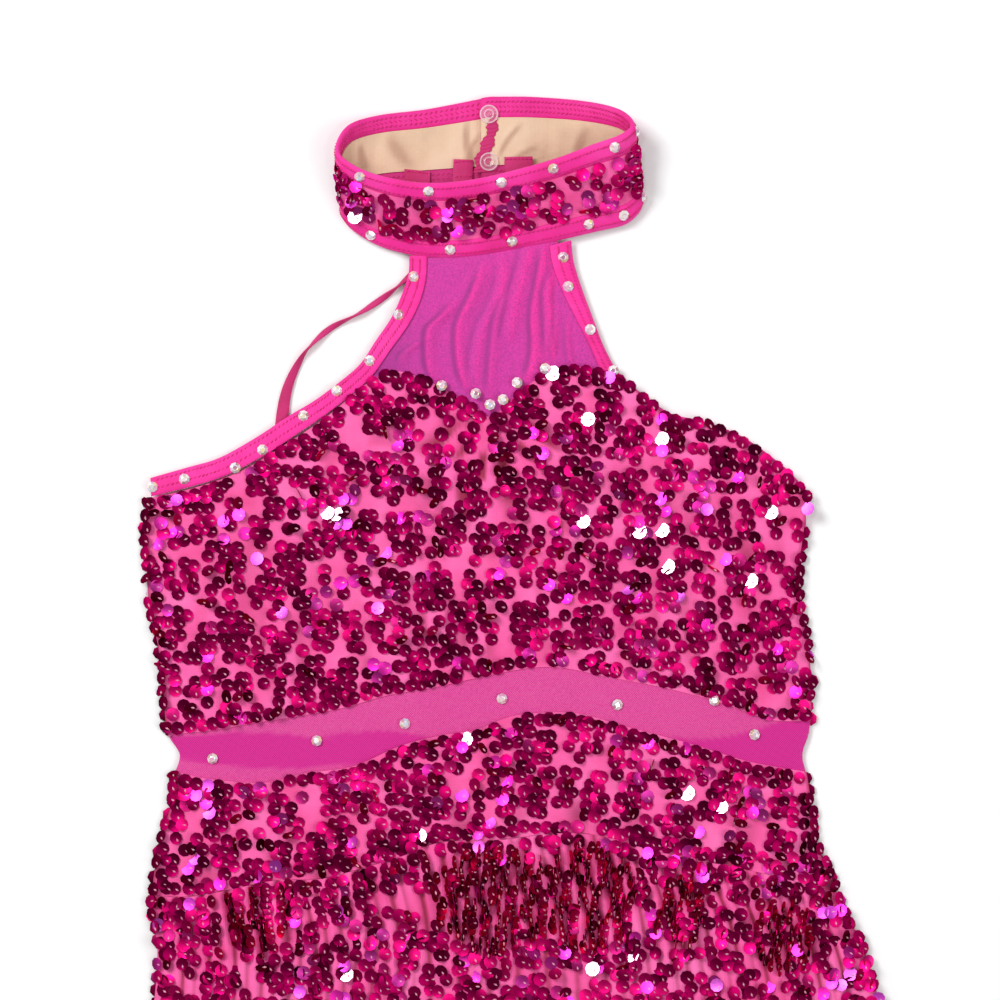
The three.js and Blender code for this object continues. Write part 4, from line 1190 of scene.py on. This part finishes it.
cloth_foot = BINDING_SHARE + SEAM / 20
cloth_span = (cloth_foot - 0.02, 1 - cloth_foot + 0.02)
collar_strip = band_shell(
    "collar_strip", *cloth_span, BAND_WALL / 2 - BAND_CLOTH, 0.6, ground_cloth, 0.12
)
collar_lining = band_shell(
    "collar_lining_cloth", *cloth_span, -BAND_WALL / 2 + 0.1, 0.8, lining_cloth, 0.16, LINING_RIDGES
)
finish_piece(collar_strip, ("collar_band",))
finish_piece(collar_lining, ("collar_lining",))


def collar_binding(name, low, high, node, inner_shade):
    def place(shares, a, b):
        turn = band_turn(shares)
        pucker = 0.12 * np.sin(turn * 280) + 0.1 * np.sin(turn * 131 + 1)
        out = mix(-BAND_WALL / 2, BAND_WALL / 2, b) + pucker * (b - 0.5) * 2 * math.sin(math.pi * a)
        return band_at(turn, np.full(len(shares), mix(low, high, a)), out)

    section = rounded(points=16)
    stations = 260
    piece = ribbon(name, stations, place, section, binding_cloth)
    # Painted shade on the binding's inner face, where the collar shades it; more on the lower binding than on
    # the upper.
    shades = [inner_shade if b < 0.45 else 0.0 for _, b in section] * (stations + 1)
    point_values(piece, "painted_shade", shades)
    return finish_piece(piece, (node,))


collar_binding("collar_bottom_binding", 0, BINDING_SHARE, "collar_binding_bottom", 0.75)
collar_binding("collar_top_binding", 1 - BINDING_SHARE, 1, "collar_binding_top", 0.25)


def band_line(height, side, slope=0.45):
    """A line of stitches round the band, on its outer (1) or inner (-1) face."""
    def way_place(shares):
        place, _, outward = band_frame(mix(BAND_START, BAND_END, shares), np.full(len(shares), height))
        return place + outward * side * (BAND_WALL / 2 + STITCH_LIFT), outward * side

    return line_of_stitches(way_place, BAND_LENGTH, slope=slope)


sew("collar_outer_stitches", [band_line(height, 1) for height in (0.065, 0.185, 0.815, 0.935)])
sew("collar_inner_stitches", [
    band_line(height, -1, slope) for height, slope in (
        (0.06, 0.6), (0.115, -0.7), (0.17, 0.6), (0.83, 0.6), (0.885, -0.7), (0.94, 0.6),
    )
])


def collar_sequins():
    turns, heights = [], []
    for row in range(6):
        turn = np.arange(BAND_START, BAND_END, SEQUIN_STEP / BAND_LENGTH)
        turn = turn + chance.uniform(0, SEQUIN_STEP / BAND_LENGTH) + chance.normal(0, 0.0014, len(turn))
        turns.append(turn)
        heights.append(mix(0.28, 0.72, row / 5) + chance.normal(0, 0.014, len(turn)))
    turn, height = np.concatenate(turns), np.concatenate(heights)
    keep = (chance.random(len(turn)) > 0.37) & ((turn > 0.03) | (turn < 0)) & (turn < 1.006)
    turn, height = turn[keep], height[keep]
    place, way, outward = band_frame(turn, height)
    count = len(turn)
    front = (turn > 0.26) & (turn < 0.72)
    loose = np.where((turn < 0.12) | (turn > 0.86), 0.2, np.where((turn < 0.26) | (turn > 0.72), 0.6, 1.0))
    loose = loose * np.where(front & (chance.random(count) < 0.3), 3.2, 1.0)
    lean_way, lean_side = chance.normal(0.06, 0.14, count) * loose, chance.normal(0.02, 0.14, count) * loose
    shades = sequin_shades(turn * BAND_LENGTH, height * 40)
    shades = np.where(shades < 0.5, shades + 0.24, shades)
    shades = np.where(chance.random(count) < 0.16, 0.66 + 0.2 * chance.random(count), shades)
    lift = BAND_WALL / 2 - BAND_CLOTH + 1.05 + 0.62 * SEQUIN_RADIUS * np.hypot(lean_way, lean_side)
    place = place + outward * np.minimum(lift, 2.6)[:, None]
    place[:, 2] = np.maximum(place[:, 2], 0.5 + 1.2 * np.hypot(lean_way, lean_side))
    lean_way, lean_side, way, outward = glinting(shades, lean_way, lean_side, way, outward)
    turned = turns_of(way, outward, lean_way, lean_side, chance.normal(0, SEQUIN_SPIN, count))
    return lay_sequins("collar_sequins", place, turned, shades)


collar_sequins()


def end_tape():
    """The binding that closes the collar's upper end, folded over the lining."""
    def place(shares, a, b):
        frayed = 0.0016 * np.sin(shares * 23 + 2 * a) + 0.0007 * np.sin(shares * 71 + 3 * a) * (2 * a - 1)
        middle, width = mix(1.008, 0.994, smooth(shares, 0.1, 0.9)), mix(0.019, 0.013, shares)
        turn = middle + width * (a - 0.5) + frayed
        height = mix(0.16, 0.8, shares)
        pucker = 0.14 * np.sin(shares * 90 + 3 * a)
        return band_at(turn, height, -BAND_WALL / 2 - mix(0.6, -0.4, b) * 0.8 - pucker * (1 - b))

    piece = ribbon("collar_end_tape", 120, place, rounded(), strap_cloth)
    return finish_piece(piece)


def spare_tab():
    """A third tab on the inside of the collar, without a strap."""
    def place(shares, a, b):
        x = mix(-52.6, -41.2, shares)
        y = mix(213.4, 221.2, a) - 1.1 * shares
        height = 2.9 + 1.0 * b + 0.12 * np.sin(9 * shares + 4 * a)
        return np.stack([x, y, height], axis=-1)

    piece = ribbon("collar_tab", 24, place, rounded(power=4), strap_cloth)
    return finish_piece(piece)


def edge_stitches(x1, y1, x2, y2, z):
    def way_place(shares):
        place = np.stack([mix(x1, x2, shares), mix(y1, y2, shares), np.full(len(shares), z)], axis=-1)
        return place, straight_up(len(shares))

    return line_of_stitches(way_place, math.hypot(x2 - x1, y2 - y1), 1.6, 0.2)


end_tape()
spare_tab()
TAB_SEAMS = (  # x, y, x, y, z
    (-51.8, 220.2, -42.0, 219.1, 3.95), (-30.2, 224.2, -22.2, 224.6, 4.15),
    (-7.4, 225.2, 4.6, 225.4, 7.05), (-51.6, 215.4, -42, 214.4, 3.95),
    (-30.2, 217.6, -22.4, 217.8, 4.15), (-7.2, 218.8, 4.6, 219.0, 7.05),
)
sew("tab_stitches", [edge_stitches(*seam) for seam in TAB_SEAMS])


# Yoke and bindings of the halter edges

collar_foot = curve_of([
    tuple(band_place(np.array(turn), np.array(0.0))[:2]) for turn in np.arange(*YOKE_TURNS, 0.02)
])


def along_ridges(x, y, highlighted):
    """The yoke's folds: their rise, or how much painted highlight they put on the net."""
    total = np.zeros(np.shape(x))
    for rise, left, right, highlight, *spots in YOKE_RIDGES:
        ridge = curve_of(spots)
        off = x - ridge(y)
        ends = smooth(y, spots[-1][0], spots[-1][0] + 9) * (1 - smooth(y, spots[0][0] - 9, spots[0][0]))
        if highlighted:
            broad = 0.55 * np.exp(-((off / np.where(off < 0, 0.8 * left, 0.8 * right)) ** 2))
            total = total + highlight * ends * (broad + 0.6 * np.exp(-(((off - 0.3) / 0.8) ** 2)))
        else:
            total = total + rise * ends * np.exp(-((off / np.where(off < 0, left, right)) ** 2))
    return total


def behind_ridges(x, y):
    """Painted shade: a dark line on the steep side of each fold."""
    total = np.zeros(np.shape(x))
    for rise, left, right, highlight, *spots in YOKE_RIDGES:
        off = x - curve_of(spots)(y) + 1.7 * left
        ends = smooth(y, spots[-1][0], spots[-1][0] + 12) * (1 - smooth(y, spots[0][0] - 14, spots[0][0]))
        total = np.maximum(total, 0.5 * rise * ends * np.exp(-((off / 1.3) ** 2)))
    return total


def yoke_base(x, y, across, along):
    edges = smooth(across, 0.06, 0.15) * smooth(1 - across, 0.05, 0.12) * (1 - smooth(along, 0.9, 0.99))
    return front_base(x, y) - TUCK + along_ridges(x, y, False) * edges


# Painted highlight along the yoke's folds, and on two broad lit patches.
def yoke_highlight(across, along):
    x, y = yoke.outline(across, along)
    right = 0.32 * np.exp(-(((x - 9) / 7) ** 2))
    left = 0.3 * np.exp(-(((x + 8) / 7) ** 2) - ((y - 174) / 16) ** 2)
    return np.clip(0.02 + (right + left) + 0.85 * along_ridges(x, y, True), 0, 1)


def yoke_shade(across, along):
    # Painted shade: darker towards the yoke's left side, and along the steep side of each fold.
    x, y = yoke.outline(across, along)
    return np.clip(0.5 * smooth(-x, 40, 62) + behind_ridges(x, y), 0, 0.85)


yoke_left, yoke_right = curve_of(YOKE_SIDES, 0, 1), curve_of(YOKE_SIDES, 0, 2)
yoke = Panel(
    lambda x: collar_foot(x) + 1, lambda x: sweetheart(x) - 3,
    lambda along: yoke_left(along) - YOKE_UNDER, lambda along: yoke_right(along) + YOKE_UNDER, yoke_base,
)
yoke_piece = cloth_shell(
    "yoke", 170, 50, yoke.at, NET_SHELL, yoke_net, {"fold_highlight": yoke_highlight, "doubled_net_and_shade": yoke_shade}
)
finish_piece(yoke_piece, ("yoke_net",))


def way_curves(rows):
    """A table's four columns, as curves over the share of the way through its rows."""
    table_rows = [(i / (len(rows) - 1),) + row for i, row in enumerate(rows)]
    return [curve_of(table_rows, 0, column) for column in (1, 2, 3, 4)]


def halter_place(edges, shares, a, lift):
    outer_x, outer_y, inner_x, inner_y = (edge(shares) for edge in edges)
    x, y = mix(outer_x, inner_x, a), mix(outer_y, inner_y, a)
    return np.stack([x, y, front_base(x, y) + lift], axis=-1)


def halter_binding(name, rows, node):
    edges = way_curves(rows)

    def place(shares, a, b):
        pucker = 0.14 * np.sin(shares * 190) + 0.1 * np.sin(shares * 83 + 1)
        lift = BINDING * b + pucker * (b > 0.5) * math.sin(math.pi * a)
        return halter_place(edges, shares, a, lift)

    piece = ribbon(name, 220, place, rounded(points=16), binding_cloth)
    return finish_piece(piece, (node,))


def halter_line(rows, a, end, length):
    edges = way_curves(rows)

    def way_place(shares):
        place = halter_place(edges, mix(0.01, end, shares), a, BINDING + 0.1)
        return place, straight_up(len(shares))

    return line_of_stitches(way_place, length)


halter_binding("left_binding", LEFT_BINDING, "binding_left")
halter_binding("right_binding", RIGHT_BINDING, "binding_right")
sew("halter_stitches", [
    halter_line(rows, a, end, length)
    for rows, end, length in ((LEFT_BINDING, 0.99, 172), (RIGHT_BINDING, 0.6, 90)) for a in (0.2, 0.62)
])


# Front cloth

def crease_shading(face, columns, rows, depth):
    """Painted shade in the creases: how far each point lies below the cloth round it, 0 to 1."""
    def value(across, along):
        heights = face(across, along)[:, 2].reshape(rows + 1, columns + 1)
        around = np.pad(heights, CREASE_REACH, mode="edge").cumsum(0).cumsum(1)
        around = np.pad(around, ((1, 0), (1, 0)))
        size = 2 * CREASE_REACH + 1
        mean = (around[size:, size:] - around[:-size, size:] - around[size:, :-size] + around[:-size, :-size])
        return np.clip((mean / size**2 - heights) / depth, 0, 1).ravel()

    return {"painted_shade": value}


def front_cloth(name, columns, rows, face, depth, node):
    shades = crease_shading(face, columns, rows, depth)
    piece = cloth_shell(name, columns, rows, face, SHELL, ground_cloth, shades)
    return finish_piece(piece, (node,))


def bodice_face(across, along):
    return front_bodice.at(bodice_spread(across), along)


bodice_piece = front_cloth("front_bodice", 180, 84, bodice_face, 0.3, "bodice_front")


def below_back_seam(across, along):
    """Where the back's darker net lies below the front's."""
    x, y = front_midriff.outline(across, along)
    upper, lower = curve_of(SEEN_BODICE_FOOT)(x), curve_of(SEEN_HIP_TOP)(x)
    return (1 - smooth(y, upper - 0.8, upper + 0.5)) * smooth(y, lower - 0.6, lower + 0.6)


midriff_piece = cloth_shell(
    "front_midriff", 200, 16, front_midriff.at, NET_SHELL, midriff_net, {
        # Painted highlight near the net's upper and lower seams.
        "fold_highlight": lambda across, along: 0.25 * smooth(np.abs(2 * along - 1), 0.75, 1),
        "doubled_net_and_shade": below_back_seam,
    },
)
finish_piece(midriff_piece, ("midriff_front",))
hip_piece = front_cloth("front_hip_yoke", 170, 28, front_hip.at, 0.25, "hip_yoke_front")
skirt_piece = front_cloth("front_skirt", 364, 40, front_skirt.at, 0.6, "skirt_front")


def in_stripes(x, y):
    """Where the gathers hold the sequins in upright stripes, 0 to 1."""
    share = np.zeros(np.shape(x))
    for middle_x, middle_y, half_wide, half_tall in STRIPE_PATCHES:
        far = np.hypot((x - middle_x) / half_wide, (y - middle_y) / half_tall)
        share = np.maximum(share, 1 - smooth(far, 0.75, 1.1))
    return share


def gather_lean(across, along, x, y):
    """How sequins stand on the flanks of the gathers, how far down, and how many make way for stripes."""
    swing = 0.95 * np.sin(fine_gather(across))
    return swing, 0.9 * (1 - smooth(along, 0.15, 0.6)), 0.75 * in_stripes(x, y)


def centre_gather_lean(across, along, x, y):
    """The same round the neckline's dip, where no sequin makes way."""
    near = np.exp(-(((x + 12) / 26) ** 2) - (((y - 92) / 20) ** 2))
    return 0.7 * np.sin(x / 1.9 + 1.4 * np.sin(y / 6)), 0.8 * near, 0.0


def stripe_sequins():
    """Sequins that stand nearly on edge in the gathers, one below the other."""
    columns = np.arange(-150, 150, STRIPE_STEP)
    held = 46  # sequins in one column
    x = np.repeat(columns, held)
    y = np.concatenate([-80 - 2.7 * (np.arange(held) + chance.random()) for column in columns])
    x = x + 1.6 * np.sin(y / 19 + x / 31) + chance.normal(0, 0.25, len(x))
    across, along = front_skirt.find(x, y)
    keep = (along > 0.02) & (along < 0.95) & (in_stripes(x, y) > 0.45 + 0.4 * chance.random(len(x)))
    across, along, x, y = across[keep], along[keep], x[keep], y[keep]
    count = len(x)
    place, way, up = front_skirt.frame_at(across, along, 0.0)
    facing = np.where(scatter(np.round(x / STRIPE_STEP), 0, 3) < 0.7, 1, -1)
    lean_way = 1.12 * facing + chance.normal(0, 0.12, count)
    lean_side = chance.normal(0.1, 0.15, count)
    place = place + up * (SHELL + 0.4 + 0.5 * SEQUIN_RADIUS)
    crimson = chance.random(count) < 0.75
    shades = np.where(crimson, 0.56 + 0.14 * chance.random(count), 0.3 + 0.2 * chance.random(count))
    turns = turns_of(way, up, lean_way, lean_side, chance.normal(0, SEQUIN_SPIN, count))
    return lay_sequins("front_gather_sequins", place, turns, shades)


sew_sequins(
    "front_bodice_sequins", front_bodice, SHELL, BODICE_STREAKS, (-172, 134, -36, 136),
    slant=-0.02, gather=centre_gather_lean,
)
sew_sequins(
    "front_hip_sequins", front_hip, SHELL, HIP_STREAKS, (-170, 148, -108, -18), slant=-0.03
)
sew_sequins(
    "front_skirt_sequins", front_skirt, SHELL, SKIRT_STREAKS, (-186, 186, -256, -74),
    gather=gather_lean, cluster=(13, 28), pitch=(SKIRT_STEP, SKIRT_ROW), tone=0.13,
)
stripe_sequins()


# Back cloth, which rests on the table with its sequins down

def back_piece(name, panel, material, node, values):
    piece = cloth_shell(name, 60, 12, panel.at, BACK_SHELL, material, values)
    return finish_piece(piece, (node,))


flat_net = {"fold_highlight": lambda across, along: 0.1, "doubled_net_and_shade": lambda across, along: 1.0}
back_bodice_piece = back_piece("back_bodice", back_bodice, inner_cloth, "bodice_back", {})
back_midriff_piece = back_piece("back_midriff", back_midriff, midriff_net, "midriff_back", flat_net)
back_hip_piece = back_piece("back_hip_yoke", back_hip, inner_cloth, "hip_yoke_back", {})
back_skirt_piece = back_piece("back_skirt", back_skirt, inner_cloth, "skirt_back", {})
sew_sequins("back_bodice_sequins", back_bodice, 0, BODICE_STREAKS, (-172, 134, -34, 72))
sew_sequins("back_hip_sequins", back_hip, 0, HIP_STREAKS, (-170, 148, -108, -48))
sew_sequins("back_skirt_sequins", back_skirt, 0, SKIRT_STREAKS, (-186, 186, -256, -100))


def back_edge_place(shares, a, b):
    x = mix(left_side(69.6), right_side(69.6), shares)
    return np.stack([x, back_top(x) - BINDING_WIDTH * (1 - a), np.full(len(x), BINDING * b)], axis=-1)


back_binding_piece = ribbon("back_top_binding", 120, back_edge_place, rounded(points=12), binding_cloth)
finish_piece(back_binding_piece, ("back_binding",))


# Rows of stitching inside the back bodice's foot, below the front's net and hardly seen through it

def inner_seam(offset):
    def way_place(shares):
        x = mix(-118.0, 104.0, shares)
        y = back_bodice_foot(x) + offset
        return np.stack([x, y, np.full(len(x), 1.36)], axis=-1), straight_up(len(x))

    return line_of_stitches(way_place, 222, 2.4, 0.0)


sew("inner_seam_stitches", [inner_seam(offset) for offset in (3.2, 6.4, 9.2)])


# Straps

def strap(name, rows, twist, node):
    x, y, z, width = way_curves(rows)

    def place(shares, a, b):
        step = 0.01
        way = unit(np.stack([curve(shares + step) - curve(shares - step) for curve in (x, y)], axis=-1))
        angle = twist * math.pi * smooth(shares, 0.3, 0.8)
        across, through = width(shares) * (a - 0.5), STRAP * (b - 0.5)
        off = across * np.cos(angle) - through * np.sin(angle)
        lift = across * np.sin(angle) + through * np.cos(angle)
        half = np.hypot(width(shares) / 2 * np.sin(angle), STRAP / 2 * np.cos(angle))
        height = np.maximum(z(shares), 0) + half + lift
        return np.stack([x(shares) - way[:, 1] * off, y(shares) + way[:, 0] * off, height], axis=-1)

    piece = ribbon(name, 160, place, rounded(points=12, power=2.6), strap_cloth)
    return finish_piece(piece, (node,))


strap("left_strap", LEFT_STRAP, 3, "strap_left")
strap("right_strap", RIGHT_STRAP, 1, "strap_right")


# Stones

def stones_on(name, places, ups):
    count = len(places)
    ups = unit(np.asarray(ups, float))
    way = unit(np.cross(np.tile([0.0, 1.0, 0.0], (count, 1)), ups))
    lean_way, lean_side = chance.normal(0, STONE_LEAN, count), chance.normal(0, STONE_LEAN, count)
    turns = turns_of(way, ups, lean_way, lean_side, chance.uniform(0, 6.28, count))
    piece = copies(name, stone, np.asarray(places, float), turns, stone_material, chance.random(count))
    point_values_by_face(piece)
    return finish_piece(piece, smooth_angle=5)


def point_values_by_face(piece):
    """Each facet gets its own colour: partly the stone's coating, partly painted reflection."""
    piece.data.attributes.remove(piece.data.attributes["shade"])
    layer = piece.data.attributes.new("shade", "FLOAT", "FACE")
    layer.data.foreach_set("value", chance.random(len(piece.data.polygons)).astype(np.float32))


def on_band(x, height):
    """The place on the front of the collar at an x, at a height of the band."""
    turns = np.linspace(0.22, 0.74, 521)
    places, _, outward = band_frame(turns, np.full(len(turns), height))
    nearest = int(np.argmin(np.abs(places[:, 0] - x)))
    return places[nearest] + outward[nearest] * (BAND_WALL / 2 + STONE_LIFT), outward[nearest]


stones_on("collar_stones", *zip(*(
    on_band(x, height)
    for stones, height in ((COLLAR_TOP_STONES, 0.9), (COLLAR_BOTTOM_STONES, 0.12)) for x, _ in stones
)))


def on_front(places, lift):
    return [(x, y, float(front_base(x, y)) + lift) for x, y in places], [(0, 0, 1)] * len(places)


stones_on("halter_stones", *on_front(HALTER_STONES, BINDING + STONE_LIFT))
stones_on("neckline_stones", *on_front(NECKLINE_STONES, 2.2))
stones_on("midriff_stones", *on_front(MIDRIFF_STONES, 0.6))


# Snaps: a clear ring with a stud at its middle

def clear_ring(name, height, node):
    seat = band_place(np.array(1.0), np.array(height))
    bpy.ops.object.select_all(action="DESELECT")
    bpy.ops.mesh.primitive_cylinder_add(
        vertices=40, radius=SNAP_RADIUS * MM, depth=SNAP_THICK * MM,
        location=(seat[0] * MM, seat[1] * MM, (seat[2] + BAND_WALL / 2 + SEAM + SNAP_THICK / 2) * MM),
    )
    ring = bpy.context.object
    ring.name = name
    bpy.ops.object.transform_apply(location=True, rotation=True, scale=True)
    bpy.ops.object.mode_set(mode="EDIT")
    select_faces(lambda face: face.normal.z > 0.9)
    for thickness, depth in SNAP_STEPS:
        bpy.ops.mesh.inset(thickness=thickness * MM, depth=depth * MM)
    bpy.ops.object.mode_set(mode="OBJECT")
    for material in (snap_disc, snap_rim_highlight):
        ring.data.materials.append(material)
    # The rings take the whiter, more opaque finish: painted highlight on the clear plastic's rims.
    for face in ring.data.polygons:
        out = math.hypot(face.center.x - seat[0] * MM, face.center.y - seat[1] * MM) / MM
        face.material_index = 1 if out > 3.3 or 1.4 < out < 2.35 else 0
    edge = ring.modifiers.new("edge", "BEVEL")
    edge.width = 0.12 * MM
    edge.segments = 2
    edge.limit_method = "ANGLE"
    only(ring)
    bpy.ops.object.modifier_apply(modifier=edge.name)
    return finish_piece(ring, (node,), smooth_angle=40)


clear_ring("snap_upper_ring", 0.8, "snap_upper")
clear_ring("snap_lower_ring", 0.27, "snap_lower")

for model in (sequin, under_sequin, stone, stitch):
    drop(model)


# What each sheet was cut to, in metres

SHEETS = (  # piece, width, length, how it is held, what it rests on, share of the rectangle, what is on it
    (bodice_piece, 0.305, 0.165, "laid", ("back_bodice",), 0.82, ("front_bodice_sequins",)),
    (midriff_piece, 0.292, 0.045, "laid", ("back_bodice",), 0.52, ("midriff_stones",)),
    (hip_piece, 0.31, 0.083, "laid", ("back_hip_yoke",), 0.68, ("front_hip_sequins",)),
    (skirt_piece, 0.46, 0.178, "gathered", ("back_skirt",), 0.86,
     ("front_skirt_sequins", "front_gather_sequins")),
    (back_bodice_piece, 0.297, 0.103, "laid", (), 0.97, ("back_bodice_sequins",)),
    (back_midriff_piece, 0.288, 0.0215, "laid", (), 0.93, ()),
    (back_hip_piece, 0.31, 0.057, "laid", (), 0.92, ("back_hip_sequins",)),
    (back_skirt_piece, 0.364, 0.152, "laid", (), 0.92, ("back_skirt_sequins",)),
    (yoke_piece, 0.1, 0.076, "laid", ("right_strap",), 0.78, ("neckline_stones",)),
    (collar_strip, 0.31, 0.0205, "lit_folds", ("collar_lining_cloth",), 1, ("collar_sequins",)),
    (collar_lining, 0.31, 0.0205, "lit_folds", ("collar_top_binding",), 1, ()),
)
for piece, width, length, held, rests_on, share, with_pieces in SHEETS:
    list(rests_on)
    [bpy.data.objects[name] for name in with_pieces]
